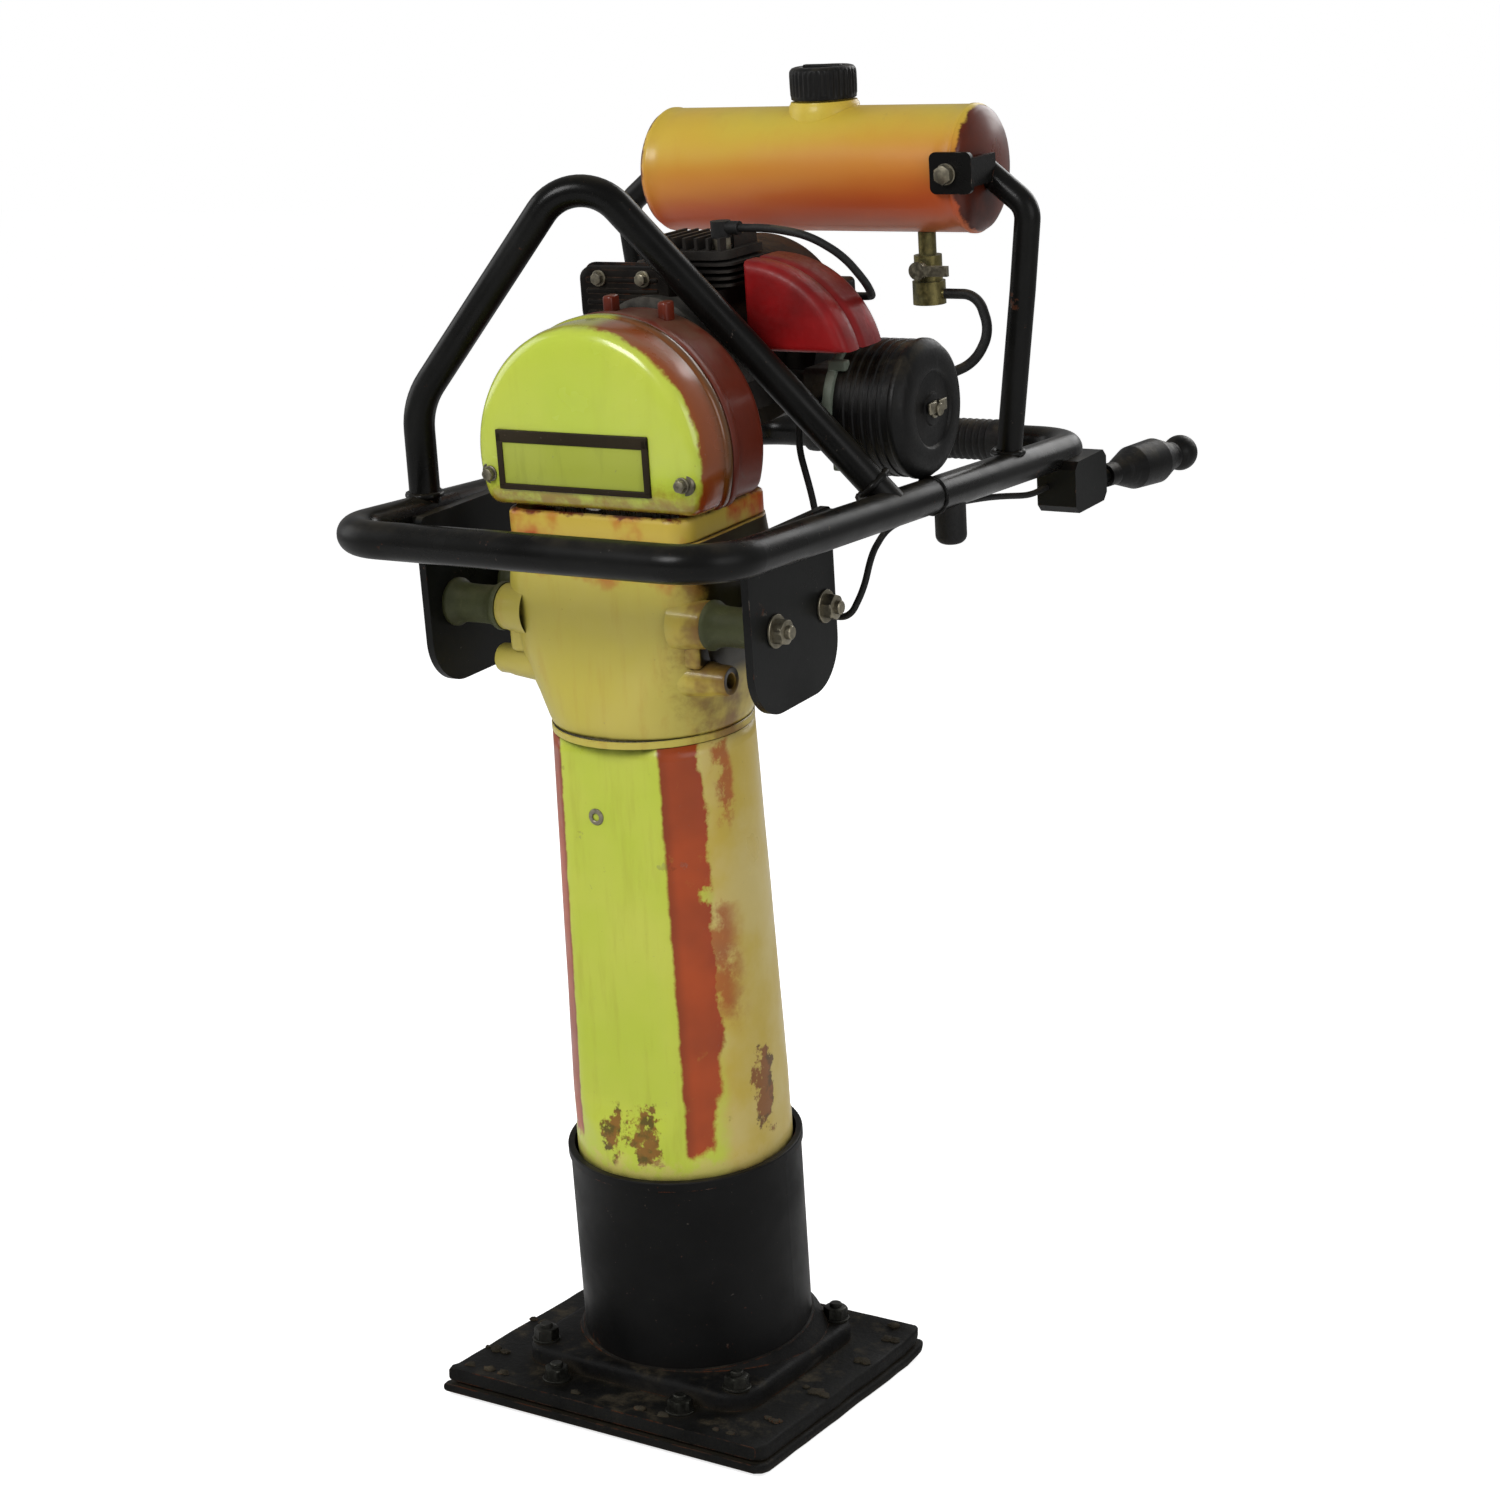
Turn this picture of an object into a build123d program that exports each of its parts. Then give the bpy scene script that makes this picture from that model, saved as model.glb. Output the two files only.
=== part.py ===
from build123d import *
import os
from math import cos, pi, radians, sin, sqrt, tan

# Tamping rammer: a leaning percussion leg on a flat shoe, with the crank housing, the engine, the handle
# frame and the fuel tank on top. Millimetres. Everything above the shoe is modelled upright, on the leg
# axis (X to the side, Y backwards, Z up the leg), and leaned forward as it is written.

# ---- driving dimensions ----
LEAN = 7.0                        # forward lean of the leg, degrees
PIVOT = (0, 15, 38)               # where the leg axis starts above the shoe
SHOE_WIDTH, SHOE_FRONT, SHOE_BACK = 288, -134, 126
SOLE_THICK, DECK_THICK = 8, 13
TOE_RISE, HEEL_RISE = 3, 5

BOSS_TOP = 16                     # top of the foot boss, along the leg
SLEEVE_R, SLEEVE_WALL, SLEEVE_TOP = 89.5, 3.5, 165
LEG_R_LOW, LEG_R_TOP = 83.4, 75.0
LEG_BOTTOM, LEG_TOP = 95, 499
LEG_WALL = 5
FLAT_HALF = 42                    # half width of the leg's flat front
NECK_BOTTOM, NECK_TOP = 505, 650

CYL_R, CYL_BORE = 46, 40          # spring cylinder on the foot
CYL_TOP = 420
GUIDE_R, GUIDE_BORE = 54, 49.5    # guide cylinder in the leg
RUN_FIT = 0.05                    # radial clearance of a running fit
ROD_R = 14
PISTON_LOW, PISTON_HEIGHT = 215, 24
COIL_R, WIRE_R = 32, 4.5

CRANK_Z, CRANK_THROW, CONROD = 690, 26, 110
MODULE, GEAR_TEETH, PINION_TEETH = 2.5, 44, 12
GEAR_FRONT, GEAR_WIDTH = -40, 20
TOOTH_FOOT, TOOTH_TIP = 2.5, 0.8    # half thickness of a tooth
SHAFT_Z = CRANK_Z + MODULE * (GEAR_TEETH + PINION_TEETH) / 2
WRIST_Z = CRANK_Z - CRANK_THROW - CONROD

DOME_R, DOME_Z, DOME_BOTTOM, DOME_WALL = 97, 707, 668, 7
COVER_FRONT, CASE_FRONT, CASE_BACK = -64, -20, 31

RING_HALF, RING_FRONT, RING_BACK, RING_R = 160, -152, 420, 13.5
RING_Z_FRONT, RING_Z_BACK, RING_CORNER = 663, 628, 42
TUBE_WALL = 2.5
HOOP_R, STAND_R = 11.5, 10
PLATE_X, PLATE_THICK = 134, 6
MOUNT_Z, MOUNT_YS, MOUNT_R = 592, (-50, 20), 17
NECK_HALF, LUG_HALF = 88, 99

TANK_Y, TANK_Z, TANK_R = 295.5, 866, 48.4
TANK_HALF, TANK_DISH, TANK_WALL = 139.5, 9, 1.6
NECK_X, CAP_BOTTOM, CAP_TOP, CAP_R = 5, 922, 945, 25

ENGINE_FRONT, ENGINE_BACK, BELL_R = 70, 150, 47
BARREL_Y, BARREL_TOP = 112, 832
TAB_BOLT_Z = 868

HIGH = 1200                       # more than any cut is deep


# ---- helpers ----
def cyl_z(radius, z0, z1, x=0, y=0):
    """Round bar along Z."""
    return Pos(x, y, z0) * Cylinder(radius, z1 - z0, align=(Align.CENTER, Align.CENTER, Align.MIN))


def cyl_y(radius, y0, y1, x=0, z=0):
    """Round bar along Y."""
    return Pos(x, y0, z) * Rot(-90, 0, 0) * cyl_z(radius, 0, y1 - y0)


def cyl_x(radius, x0, x1, y=0, z=0):
    """Round bar along X."""
    return Pos(x0, y, z) * Rot(0, 90, 0) * cyl_z(radius, 0, x1 - x0)


def block(x0, x1, y0, y1, z0, z1):
    """Box from its limits."""
    return Pos((x0 + x1) / 2, (y0 + y1) / 2, (z0 + z1) / 2) * Box(x1 - x0, y1 - y0, z1 - z0)


def prism_y(sketch, y0, y1):
    """Sketch drawn in X and Z, pushed from y0 to y1."""
    return Pos(0, y1, 0) * extrude(Plane.XZ * sketch, y1 - y0)


def prism_x(sketch, x0, x1):
    """Sketch drawn in Y and Z, pushed from x0 to x1."""
    return Pos(x0, 0, 0) * extrude(Plane.YZ * sketch, x1 - x0)


def hexagon_bar(across, length):
    """Six-sided bolt head or nut, standing on Z = 0."""
    return extrude(RegularPolygon(across / 2, 6, major_radius=False), length)


def bend_radii(points):
    """For each inner point, an arc as large as its two runs allow."""
    radii = []
    for before, here, after in zip(points, points[1:], points[2:]):
        first = Vector(*here) - Vector(*before)
        second = Vector(*after) - Vector(*here)
        turn = radians(first.get_angle(second))
        radii.append(0.45 * min(first.length, second.length) / tan(turn / 2))
    return radii


def bent(points, radius, radii=None, wall=0):
    """Tube or rod through the points, with a tangent arc at each bend."""
    path = FilletPolyline(*points, radius=radii or bend_radii(points))
    section = Circle(radius) - Circle(radius - wall) if wall else Circle(radius)
    return sweep(Plane(origin=path @ 0, z_dir=path % 0) * section, path=path)


def cord(name, points, radius):
    """Flexible line held all along, with its tightest bend printed."""
    radii = bend_radii(points)
    print(f"{name}: bend radii {', '.join(f'{r:.0f}' for r in radii)} mm at diameter {2 * radius:g} mm")
    return bent(points, radius, radii)


def save(name, shape, leaned=True):
    """Write one node, leaned with the leg unless it belongs to the flat shoe."""
    placed = Location(PIVOT, (LEAN, 0, 0)) * shape if leaned else shape
    if not isinstance(placed, (Solid, Compound)):
        placed = Compound(placed.solids())
    export_step(placed, f"parts/{name}.step")


# ---- foot ----
def shoe_side(thick, lift, front, back):
    """Side profile of a shoe layer: flat, with the toe and the heel turned up."""
    low = [(front, lift + TOE_RISE), (front + 15, lift), (back - 24, lift), (back, lift + HEEL_RISE)]
    high = [(y, z + thick) for y, z in reversed(low)]
    return make_face(Polyline(*low, *high, close=True))


def shoe():
    sole = prism_x(shoe_side(SOLE_THICK, 0, SHOE_FRONT, SHOE_BACK), -SHOE_WIDTH / 2, SHOE_WIDTH / 2)
    deck = prism_x(shoe_side(DECK_THICK, SOLE_THICK, SHOE_FRONT + 3, SHOE_BACK - 3),
                   -SHOE_WIDTH / 2 + 3, SHOE_WIDTH / 2 - 3)
    upright = fillet(sole.edges().filter_by(lambda e: abs(e.length - SOLE_THICK) < 0.01), 8)
    return upright, deck


def foot_boss():
    """Raised boss: a bolted base on the deck and a leaning socket for the sleeve and the cylinder."""
    deck_top = SOLE_THICK + DECK_THICK
    base = extrude(Pos(0, 4, deck_top) * RectangleRounded(206, 184, 26), 14)
    socket = Location(PIVOT, (LEAN, 0, 0)) * (cyl_z(SLEEVE_R + 2, -40, BOSS_TOP - 8)
                                              + cyl_z(SLEEVE_R - SLEEVE_WALL - 0.2, -40, BOSS_TOP))
    boss = base + socket
    boss -= block(-HIGH, HIGH, -HIGH, HIGH, -HIGH, deck_top)
    boss -= Location(PIVOT, (LEAN, 0, 0)) * cyl_z(CYL_R, BOSS_TOP - 14, BOSS_TOP + 1)
    return boss - shoe()[1]


FOOT_BOLTS = [(x, y) for x in (-87, 87) for y in (-72, 80)]


def foot_bolts():
    """Hexagon heads on the boss base, and two more on the toe of the deck."""
    deck_top = SOLE_THICK + DECK_THICK
    spots = [(x, y, deck_top + 14) for x, y in FOOT_BOLTS] + [(x, -103, deck_top) for x in (-56, 56)]
    heads = [Pos(*spot) * (cyl_z(11, 0, 2.5) + Pos(0, 0, 2.5) * hexagon_bar(17, 9)) for spot in spots]
    return Compound([solid for head in heads for solid in head.solids()])


def foot_sleeve():
    """Black outer sleeve that the leg runs in, with a rolled rim."""
    tube = cyl_z(SLEEVE_R, BOSS_TOP - 8, SLEEVE_TOP) + cyl_z(SLEEVE_R + 1.6, SLEEVE_TOP - 7, SLEEVE_TOP)
    tube = fillet(tube.edges().group_by(Axis.Z)[-1], 1.4)
    return tube - cyl_z(SLEEVE_R - SLEEVE_WALL, BOSS_TOP - 9, SLEEVE_TOP + 1)


def spring_cylinder():
    wall = cyl_z(CYL_R, BOSS_TOP - 14, CYL_TOP)
    return wall - cyl_z(CYL_BORE, BOSS_TOP, CYL_TOP + 1)


def cylinder_head():
    """Screwed head of the spring cylinder, with the rod's bore."""
    head = cyl_z(CYL_R - 1, CYL_TOP, CYL_TOP + 14)
    return head - cyl_z(ROD_R + RUN_FIT, CYL_TOP - 1, CYL_TOP + 15)


def spring(z0, z1, turns):
    """Round-wire compression spring between two seats."""
    height = z1 - z0 - 2 * WIRE_R - 1
    path = Helix(pitch=height / turns, height=height, radius=COIL_R)
    coil = sweep(Plane(origin=path @ 0, z_dir=path % 0) * Circle(WIRE_R), path=path, is_frenet=True)
    return Pos(0, 0, z0 + WIRE_R + 0.5) * coil


# ---- leg ----
def leg_section(radius, flat_half, inset):
    """Round section with a flat front."""
    flat_y = -sqrt(radius**2 - flat_half**2) + inset
    return Circle(radius - inset) - Pos(0, flat_y - 50) * Rectangle(400, 100)


def leg_outside(inset):
    """Leg shape: a round collar below, and a flat front that runs out of it."""
    lower = cyl_z(LEG_R_LOW - inset, LEG_BOTTOM - (inset > 0), 182)
    run_out = loft([Pos(0, 0, 182) * leg_section(LEG_R_LOW, 9, inset),
                    Pos(0, 0, 212) * leg_section(LEG_R_LOW - 0.7, FLAT_HALF, inset)], ruled=True)
    upper = loft([Pos(0, 0, 212) * leg_section(LEG_R_LOW - 0.7, FLAT_HALF, inset),
                  Pos(0, 0, LEG_TOP) * leg_section(LEG_R_TOP, FLAT_HALF, inset)], ruled=True)
    return lower + run_out + upper


def leg_casting():
    """Yellow leg: hollow, with a plugged tapping and a side rib."""
    leg = leg_outside(0) - leg_outside(LEG_WALL)
    return leg + leg_rib()


def leg_plug():
    """Threaded plug in the flat front."""
    plug = Pos(-14, -62, 442) * Rot(90, 0, 0) * (cyl_z(6.5, -1, 4) - Pos(0, 0, 1) * hexagon_bar(6, 4))
    return (plug - leg_outside(0)).solids().sort_by(SortBy.VOLUME)[-1]


def leg_rib():
    """Raised edge strip along the back of the leg's right side."""
    strip = loft([Pos(56.5, 56.5, 200) * Rot(0, 0, 45) * Rectangle(9, 16),
                  Pos(50.5, 50.5, LEG_TOP) * Rot(0, 0, 45) * Rectangle(9, 16)], ruled=True)
    return strip - leg_outside(0)


def guide_cylinder():
    """Steel guide with the flange that is clamped between the leg and the neck."""
    tube = cyl_z(GUIDE_R, 140, LEG_TOP) + cyl_z(73, LEG_TOP, NECK_BOTTOM)
    return tube - cyl_z(GUIDE_BORE, 139, NECK_BOTTOM + 1)


def guide_bushes():
    """Two bronze bushes that the spring cylinder slides in."""
    bushes = [cyl_z(GUIDE_BORE, z, z + 36) - cyl_z(CYL_R + RUN_FIT, z - 1, z + 37) for z in (146, 340)]
    return Compound([solid for bush in bushes for solid in bush.solids()])


# ---- neck and crank housing ----
def con_rod_way():
    """Room for the gear, the rod and the fork in the neck and the case floor."""
    return cyl_z(50, NECK_BOTTOM - 1, DOME_BOTTOM + 6) + block(-60, 60, -44, -16, 628, DOME_BOTTOM + 6)


def neck_casting():
    """Flared casting from the round leg to the crank housing, with an ear on each side."""
    stations = [(NECK_BOTTOM, 148, 140, 68), (548, 168, 136, 46), (592, 2 * NECK_HALF, 132, 34),
                (NECK_TOP, 160, 128, 26)]
    sections = [Pos(0, 0, z) * RectangleRounded(w, d, r) for z, w, d, r in stations]
    neck = loft(sections, ruled=True)
    neck += cyl_x(11, -LUG_HALF, LUG_HALF, y=-46, z=551)
    for y in MOUNT_YS:
        neck += cyl_x(MOUNT_R - 1, -NECK_HALF, NECK_HALF, y=y, z=MOUNT_Z)
    return neck - con_rod_way()


def dome_outline(radius, bottom):
    circle = Pos(0, DOME_Z) * Circle(radius)
    return circle - Pos(0, bottom - HIGH / 2) * Rectangle(HIGH, HIGH)


def crankcase():
    """Round-topped case on a flat base, open to the front and down the neck."""
    case = prism_y(dome_outline(DOME_R, DOME_BOTTOM), CASE_FRONT, CASE_BACK)
    case -= prism_y(dome_outline(DOME_R - DOME_WALL, DOME_BOTTOM), CASE_FRONT - 1, CASE_BACK - 8)
    base = block(-78, 78, COVER_FRONT + 2, 60, NECK_TOP, DOME_BOTTOM)
    base = fillet(base.edges().filter_by(Axis.Z), 18)
    case += base
    case -= con_rod_way() - block(-HIGH, HIGH, CASE_BACK - 8, HIGH, DOME_BOTTOM, HIGH)
    return case_lugs() + case - cyl_y(12, CASE_BACK - 9, CASE_BACK + 1, z=SHAFT_Z)


def crank_cover():
    """Front cover with a soft front edge, the bearing bosses and the plate's recess."""
    cover = prism_y(dome_outline(DOME_R, DOME_BOTTOM), COVER_FRONT, CASE_FRONT)
    cover = fillet(cover.faces().sort_by(Axis.Y)[0].edges(), 7)
    cover -= prism_y(dome_outline(DOME_R - DOME_WALL, DOME_BOTTOM - 1), COVER_FRONT + DOME_WALL, CASE_FRONT + 1)
    cover += cyl_y(25, COVER_FRONT + 5, -44, z=CRANK_Z) - block(-HIGH, HIGH, -HIGH, HIGH, 0, DOME_BOTTOM)
    cover += cyl_y(17, COVER_FRONT + 5, -46, z=SHAFT_Z)
    cover -= cyl_y(20, -56, -43, z=CRANK_Z)
    cover -= cyl_y(12, -56, -43, z=SHAFT_Z)
    return cover - block(*PLATE_X_RANGE, COVER_FRONT - 1, COVER_FRONT + 2.5, *PLATE_Z_RANGE)


PLATE_X_RANGE, PLATE_Z_RANGE = (-72, 56), (684, 727)


def name_plate():
    """Blank plate with a raised border, set in the cover's recess."""
    (x0, x1), (z0, z1) = PLATE_X_RANGE, PLATE_Z_RANGE
    plate = block(x0, x1, COVER_FRONT - 0.8, COVER_FRONT + 2.5, z0, z1)
    return plate - block(x0 + 5, x1 - 5, COVER_FRONT - 2, COVER_FRONT + 1, z0 + 4, z1 - 9)


def cover_bolts():
    """Two heads low on the cover's front, and two on the back of the case."""
    head = cyl_z(5, 0, 1.2) + hexagon_bar(7, 4)
    bolts = []
    for angle in (-9, 40, 140, 189):
        x = (DOME_R - 15) * cos(radians(angle))
        z = DOME_Z + (DOME_R - 15) * sin(radians(angle))
        front = abs(x) > DOME_R - 20
        place = Pos(x, COVER_FRONT, z) * Rot(90, 0, 0) if front else Pos(x, CASE_BACK, z) * Rot(-90, 0, 0)
        bolts.append(place * head)
    return Compound([solid for bolt in bolts for solid in bolt.solids()])


def case_lugs():
    """Two small lugs on top of the case."""
    lugs = Part()
    for x in (-16, 30):
        top = DOME_Z + sqrt(DOME_R**2 - x**2)
        lug = block(x - 4, x + 4, 4, 16, top - 6, top + 9)
        lugs += lug - cyl_y(DOME_R - 1, 0, 20, z=DOME_Z)
    return lugs


# ---- crank train ----
def toothed_wheel(teeth, width, bore, phase):
    """Spur gear with straight-flanked teeth, axis along Y, front face at Y = 0."""
    pitch_r = MODULE * teeth / 2
    corners = []
    for tooth in range(teeth):
        middle = phase + 2 * pi * tooth / teeth
        for half, radius in ((TOOTH_FOOT, pitch_r - 2.9), (TOOTH_TIP, pitch_r + 2.1)):
            corners.append((middle, -half, radius))
        for half, radius in ((TOOTH_TIP, pitch_r + 2.1), (TOOTH_FOOT, pitch_r - 2.9)):
            corners.append((middle, half, radius))
    points = [(r * cos(a + h / r), r * sin(a + h / r)) for a, h, r in corners]
    face = make_face(Polyline(*points, close=True)) - Circle(bore)
    return Rot(-90, 0, 0) * extrude(face, width)


def crank_gear():
    """Big gear with its stub shaft and lightening holes, and the pin that stops just short of the rod."""
    wheel = Pos(0, GEAR_FRONT, CRANK_Z) * toothed_wheel(GEAR_TEETH, GEAR_WIDTH, 9, 0)
    for turn in (30, 90, 150):
        wheel -= cyl_y(9, GEAR_FRONT - 1, 0, x=34 * cos(radians(turn)), z=CRANK_Z + 34 * sin(radians(turn)))
    wheel += cyl_y(10, -55.8, GEAR_FRONT + GEAR_WIDTH, z=CRANK_Z)
    return wheel + cyl_y(9, GEAR_FRONT + GEAR_WIDTH, -10, z=CRANK_Z - CRANK_THROW)


def crank_bearings():
    """Plain rings that stand for the ball bearings of the gear and the pinion."""
    gear = cyl_y(20, -56, -44, z=CRANK_Z) - cyl_y(10 + RUN_FIT, -57, -43, z=CRANK_Z)
    small = cyl_y(12, -56, -46, z=SHAFT_Z) - cyl_y(6 + RUN_FIT, -57, -45, z=SHAFT_Z)
    rear = cyl_y(12, CASE_BACK - 8, CASE_BACK + 3, z=SHAFT_Z) - cyl_y(6 + RUN_FIT, 20, 40, z=SHAFT_Z)
    return Compound([*gear.solids(), *small.solids(), *rear.solids()])


def con_rod():
    """Rod with a big and a small end."""
    rod = cyl_y(20, -9, 9, z=WRIST_Z + CONROD) + cyl_y(13, -7, 7, z=WRIST_Z)
    rod += block(-8, 8, -6, 6, WRIST_Z, WRIST_Z + CONROD)
    rod -= cyl_y(9.3, -10, 10, z=WRIST_Z + CONROD)
    return rod - cyl_y(8 + RUN_FIT, -10, 10, z=WRIST_Z)


def wrist_pin():
    return cyl_y(8, -19, 19, z=WRIST_Z)


def plunger():
    """Fork, rod and piston in one."""
    fork = block(-17, 17, -19, 19, WRIST_Z - 34, WRIST_Z + 14)
    fork = fillet(fork.edges().filter_by(Axis.Z), 8)
    fork -= block(-HIGH, HIGH, -7.6, 7.6, WRIST_Z - 16, HIGH * 2)
    rod = cyl_z(ROD_R, PISTON_LOW, WRIST_Z - 30)
    piston = cyl_z(CYL_BORE - 0.4, PISTON_LOW, PISTON_LOW + PISTON_HEIGHT)
    return fork + rod + piston - cyl_y(8, -20, 20, z=WRIST_Z)


# ---- clutch and engine ----
def clutch_drum():
    """Clutch drum with its shaft and the pinion on it."""
    wheel = Pos(0, GEAR_FRONT, SHAFT_Z) * toothed_wheel(PINION_TEETH, GEAR_WIDTH, 5, pi / PINION_TEETH)
    drum = cyl_y(39, 36, 64, z=SHAFT_Z) - cyl_y(35.5, 40, 65, z=SHAFT_Z)
    return wheel + cyl_y(6, -55.8, 37, z=SHAFT_Z) + drum


def clutch_housing():
    """Bell between the crankcase and the engine."""
    bell = cyl_y(BELL_R, CASE_BACK, ENGINE_FRONT, z=SHAFT_Z)
    bell -= cyl_y(BELL_R - 5, CASE_BACK + 3, ENGINE_FRONT + 1, z=SHAFT_Z)
    bell -= cyl_y(12, CASE_BACK - 1, CASE_BACK + 4, z=SHAFT_Z)
    return bell


def clutch_shoes():
    """Two centrifugal shoes on a hub."""
    ring = cyl_y(34.5, 44, 60, z=SHAFT_Z) - cyl_y(23, 43, 61, z=SHAFT_Z)
    ring -= block(-HIGH, HIGH, 40, 62, SHAFT_Z - 3, SHAFT_Z + 3)
    return Compound(ring.solids())


def engine_shaft():
    """Engine crankshaft with the clutch hub on its front end."""
    return cyl_y(9, 44, 200, z=SHAFT_Z) + cyl_y(23, 44, 60, z=SHAFT_Z)


def flywheel():
    """Fan wheel with its blades."""
    disc = cyl_y(58, 156, 162, z=SHAFT_Z)
    for blade in range(12):
        disc += Pos(0, 0, SHAFT_Z) * Rot(0, 30 * blade, 0) * block(34, 56, 162, 176, -1.5, 1.5)
    return disc + cyl_y(20, 162, 180, z=SHAFT_Z) - cyl_y(9, 150, 190, z=SHAFT_Z)


def engine_block():
    """Crankcase of the engine, with its mounting flange."""
    case = cyl_y(44, ENGINE_FRONT, ENGINE_BACK, z=SHAFT_Z)
    case += cyl_y(BELL_R, ENGINE_FRONT, ENGINE_FRONT + 7, z=SHAFT_Z)
    case += block(-34, 34, ENGINE_FRONT + 7, ENGINE_BACK - 4, SHAFT_Z - 50, SHAFT_Z - 20)
    case += block(-30, 30, BARREL_Y - 30, BARREL_Y + 30, SHAFT_Z, 804)
    return case - cyl_y(9 + RUN_FIT, ENGINE_FRONT - 1, ENGINE_BACK + 1, z=SHAFT_Z)


def engine_barrel():
    """Cylinder with cooling fins."""
    barrel = cyl_z(24, 804, BARREL_TOP - 6, y=BARREL_Y)
    for level in range(4):
        barrel += Pos(0, BARREL_Y, 807 + 5 * level) * extrude(RectangleRounded(84, 68, 12), 2)
    return barrel


def cylinder_top():
    """Head block with upright fins."""
    head = Pos(0, BARREL_Y, BARREL_TOP - 6) * extrude(RectangleRounded(74, 64, 12), 6)
    for step in range(-3, 4):
        head += block(step * 10 - 1.2, step * 10 + 1.2, BARREL_Y - 26, BARREL_Y + 26, BARREL_TOP, BARREL_TOP + 9)
    return head - cyl_z(9, BARREL_TOP - 3, HIGH, x=24, y=BARREL_Y - 12)


def spark_plug():
    """Plug body standing in the head, with its hexagon."""
    low = BARREL_TOP - 3
    body = cyl_z(6.8, low, low + 6, x=24, y=BARREL_Y - 12)
    return body + Pos(24, BARREL_Y - 12, low + 6) * hexagon_bar(13, 5)


def plug_cap():
    """Rubber cap on the plug."""
    low = BARREL_TOP + 8
    cap = cyl_z(7.5, low, low + 12, x=24, y=BARREL_Y - 12)
    return cap + cyl_x(5, 24, 40, y=BARREL_Y - 12, z=low + 7)


LEAD_ROUTE = [(40, 100, 847), (66, 100, 847), (96, 102, 842), (120, 108, 827), (129, 123, 806), (122, 144, 794),
              (112, 162, 789), (93, 162, 789)]


def plug_lead():
    return cord("plug_lead", LEAD_ROUTE, 3)


def muffler():
    """Flat black silencer in front of the cylinder, saddled over the bell, with its tail pipe."""
    can = block(-66, 14, 42, 69, 784, 826)
    can = fillet(can.edges().filter_by(Axis.Y), 8)
    can -= cyl_y(BELL_R + 2, 40, 80, z=SHAFT_Z)
    can += cyl_y(9, 68, 78, x=-8, z=817)
    return can + (cyl_y(7, 68, 100, x=-55, z=806) - cyl_y(5, 74, 101, x=-55, z=806))


def cowl_outline(inset):
    """Quarter-round outline, flat below and on the cylinder's side."""
    quarter = Pos(104, 809) * Rectangle(108 - 2 * inset, 100 - 2 * inset)
    return (Pos(50, 740) * Circle(86 - inset)) & quarter


def cowl():
    """Red air shroud on the right of the cylinder, curved over its outer side, open to the back."""
    shell = prism_y(cowl_outline(0), 79, 136)
    return shell - prism_y(cowl_outline(3), 82, 137)


def fan_housing():
    """Round housing of the fan and the recoil starter."""
    drum = cyl_y(70, ENGINE_BACK, 204, z=SHAFT_Z)
    drum = fillet(drum.faces().sort_by(Axis.Y)[-1].edges(), 9)
    drum -= cyl_y(63, ENGINE_BACK + 3, 193, z=SHAFT_Z)
    drum -= cyl_x(3, -80, -50, y=GRIP_Y, z=GRIP_Z)
    drum -= cyl_y(11, ENGINE_BACK - 1, 202, z=SHAFT_Z)
    for slot in range(8):
        drum -= Pos(0, 0, SHAFT_Z) * Rot(0, 45 * slot, 0) * block(24, 50, 180, 210, -4, 4)
    return drum


GRIP_Y, GRIP_Z = 186, 786


def starter_grip():
    """Cross grip of the recoil starter."""
    grip = cyl_y(8, GRIP_Y - 20, GRIP_Y + 20, x=-80, z=GRIP_Z)
    return fillet(grip.edges(), 4)


def starter_rope():
    """First stretch of the rope, from the grip into the housing."""
    return cyl_x(2.5, -80, -36, y=GRIP_Y, z=GRIP_Z) - cyl_y(8, GRIP_Y - 20, GRIP_Y + 20, x=-80, z=GRIP_Z)


def ignition_coil():
    return fillet(block(71, 93, 152, 172, 776, 802).edges().filter_by(Axis.Y), 4)


def carburettor():
    """Body beside the engine, with the intake pipe to the crankcase and the hose spigot."""
    body = block(70, 96, 128, 180, 700, 740)
    body = fillet(body.edges().filter_by(Axis.X), 5)
    return body + (cyl_x(9, 16, 70, y=138, z=728) - engine_block())


def float_bowl():
    return fillet(cyl_z(12, 682, 700, x=83, y=150).edges().group_by(Axis.Z)[0], 3)


CLEANER_Y, CLEANER_Z, CLEANER_R, CLEANER_END = 158, 708, 50, 162


def air_cleaner():
    """Round canister, axis across the machine."""
    can = cyl_x(CLEANER_R, 104, CLEANER_END, y=CLEANER_Y, z=CLEANER_Z)
    can = fillet(can.faces().sort_by(Axis.X)[-1].edges(), 7)
    return can + cyl_x(5, CLEANER_END, CLEANER_END + 6, y=CLEANER_Y, z=CLEANER_Z)


def cleaner_base():
    """Pale base ring on the carburettor side."""
    return cyl_x(CLEANER_R + 3, 96, 104, y=CLEANER_Y, z=CLEANER_Z)


# ---- handle frame ----
SEAM_Y = 150                      # where the front and the rear tube of the frame are welded


def ring_z(y):
    """Height of the handle frame's centre line at a place along it."""
    return RING_Z_FRONT + (RING_Z_BACK - RING_Z_FRONT) * (y - RING_FRONT) / (RING_BACK - RING_FRONT)


def frame_point(side, y):
    return side * RING_HALF, y, ring_z(y)


def frame_tube(y_bar):
    """Half of the frame: two arms from the seam and the bar that joins them."""
    route = [frame_point(-1, SEAM_Y), frame_point(-1, y_bar), frame_point(1, y_bar), frame_point(1, SEAM_Y)]
    return bent(route, RING_R, RING_CORNER, TUBE_WALL)


def arm_bar(side):
    """Straight bar along one arm, for cutting what stands on it."""
    low, high = Vector(*frame_point(side, RING_FRONT)), Vector(*frame_point(side, RING_BACK))
    return extrude(Plane(origin=low, z_dir=high - low) * Circle(RING_R), (high - low).length)


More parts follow.
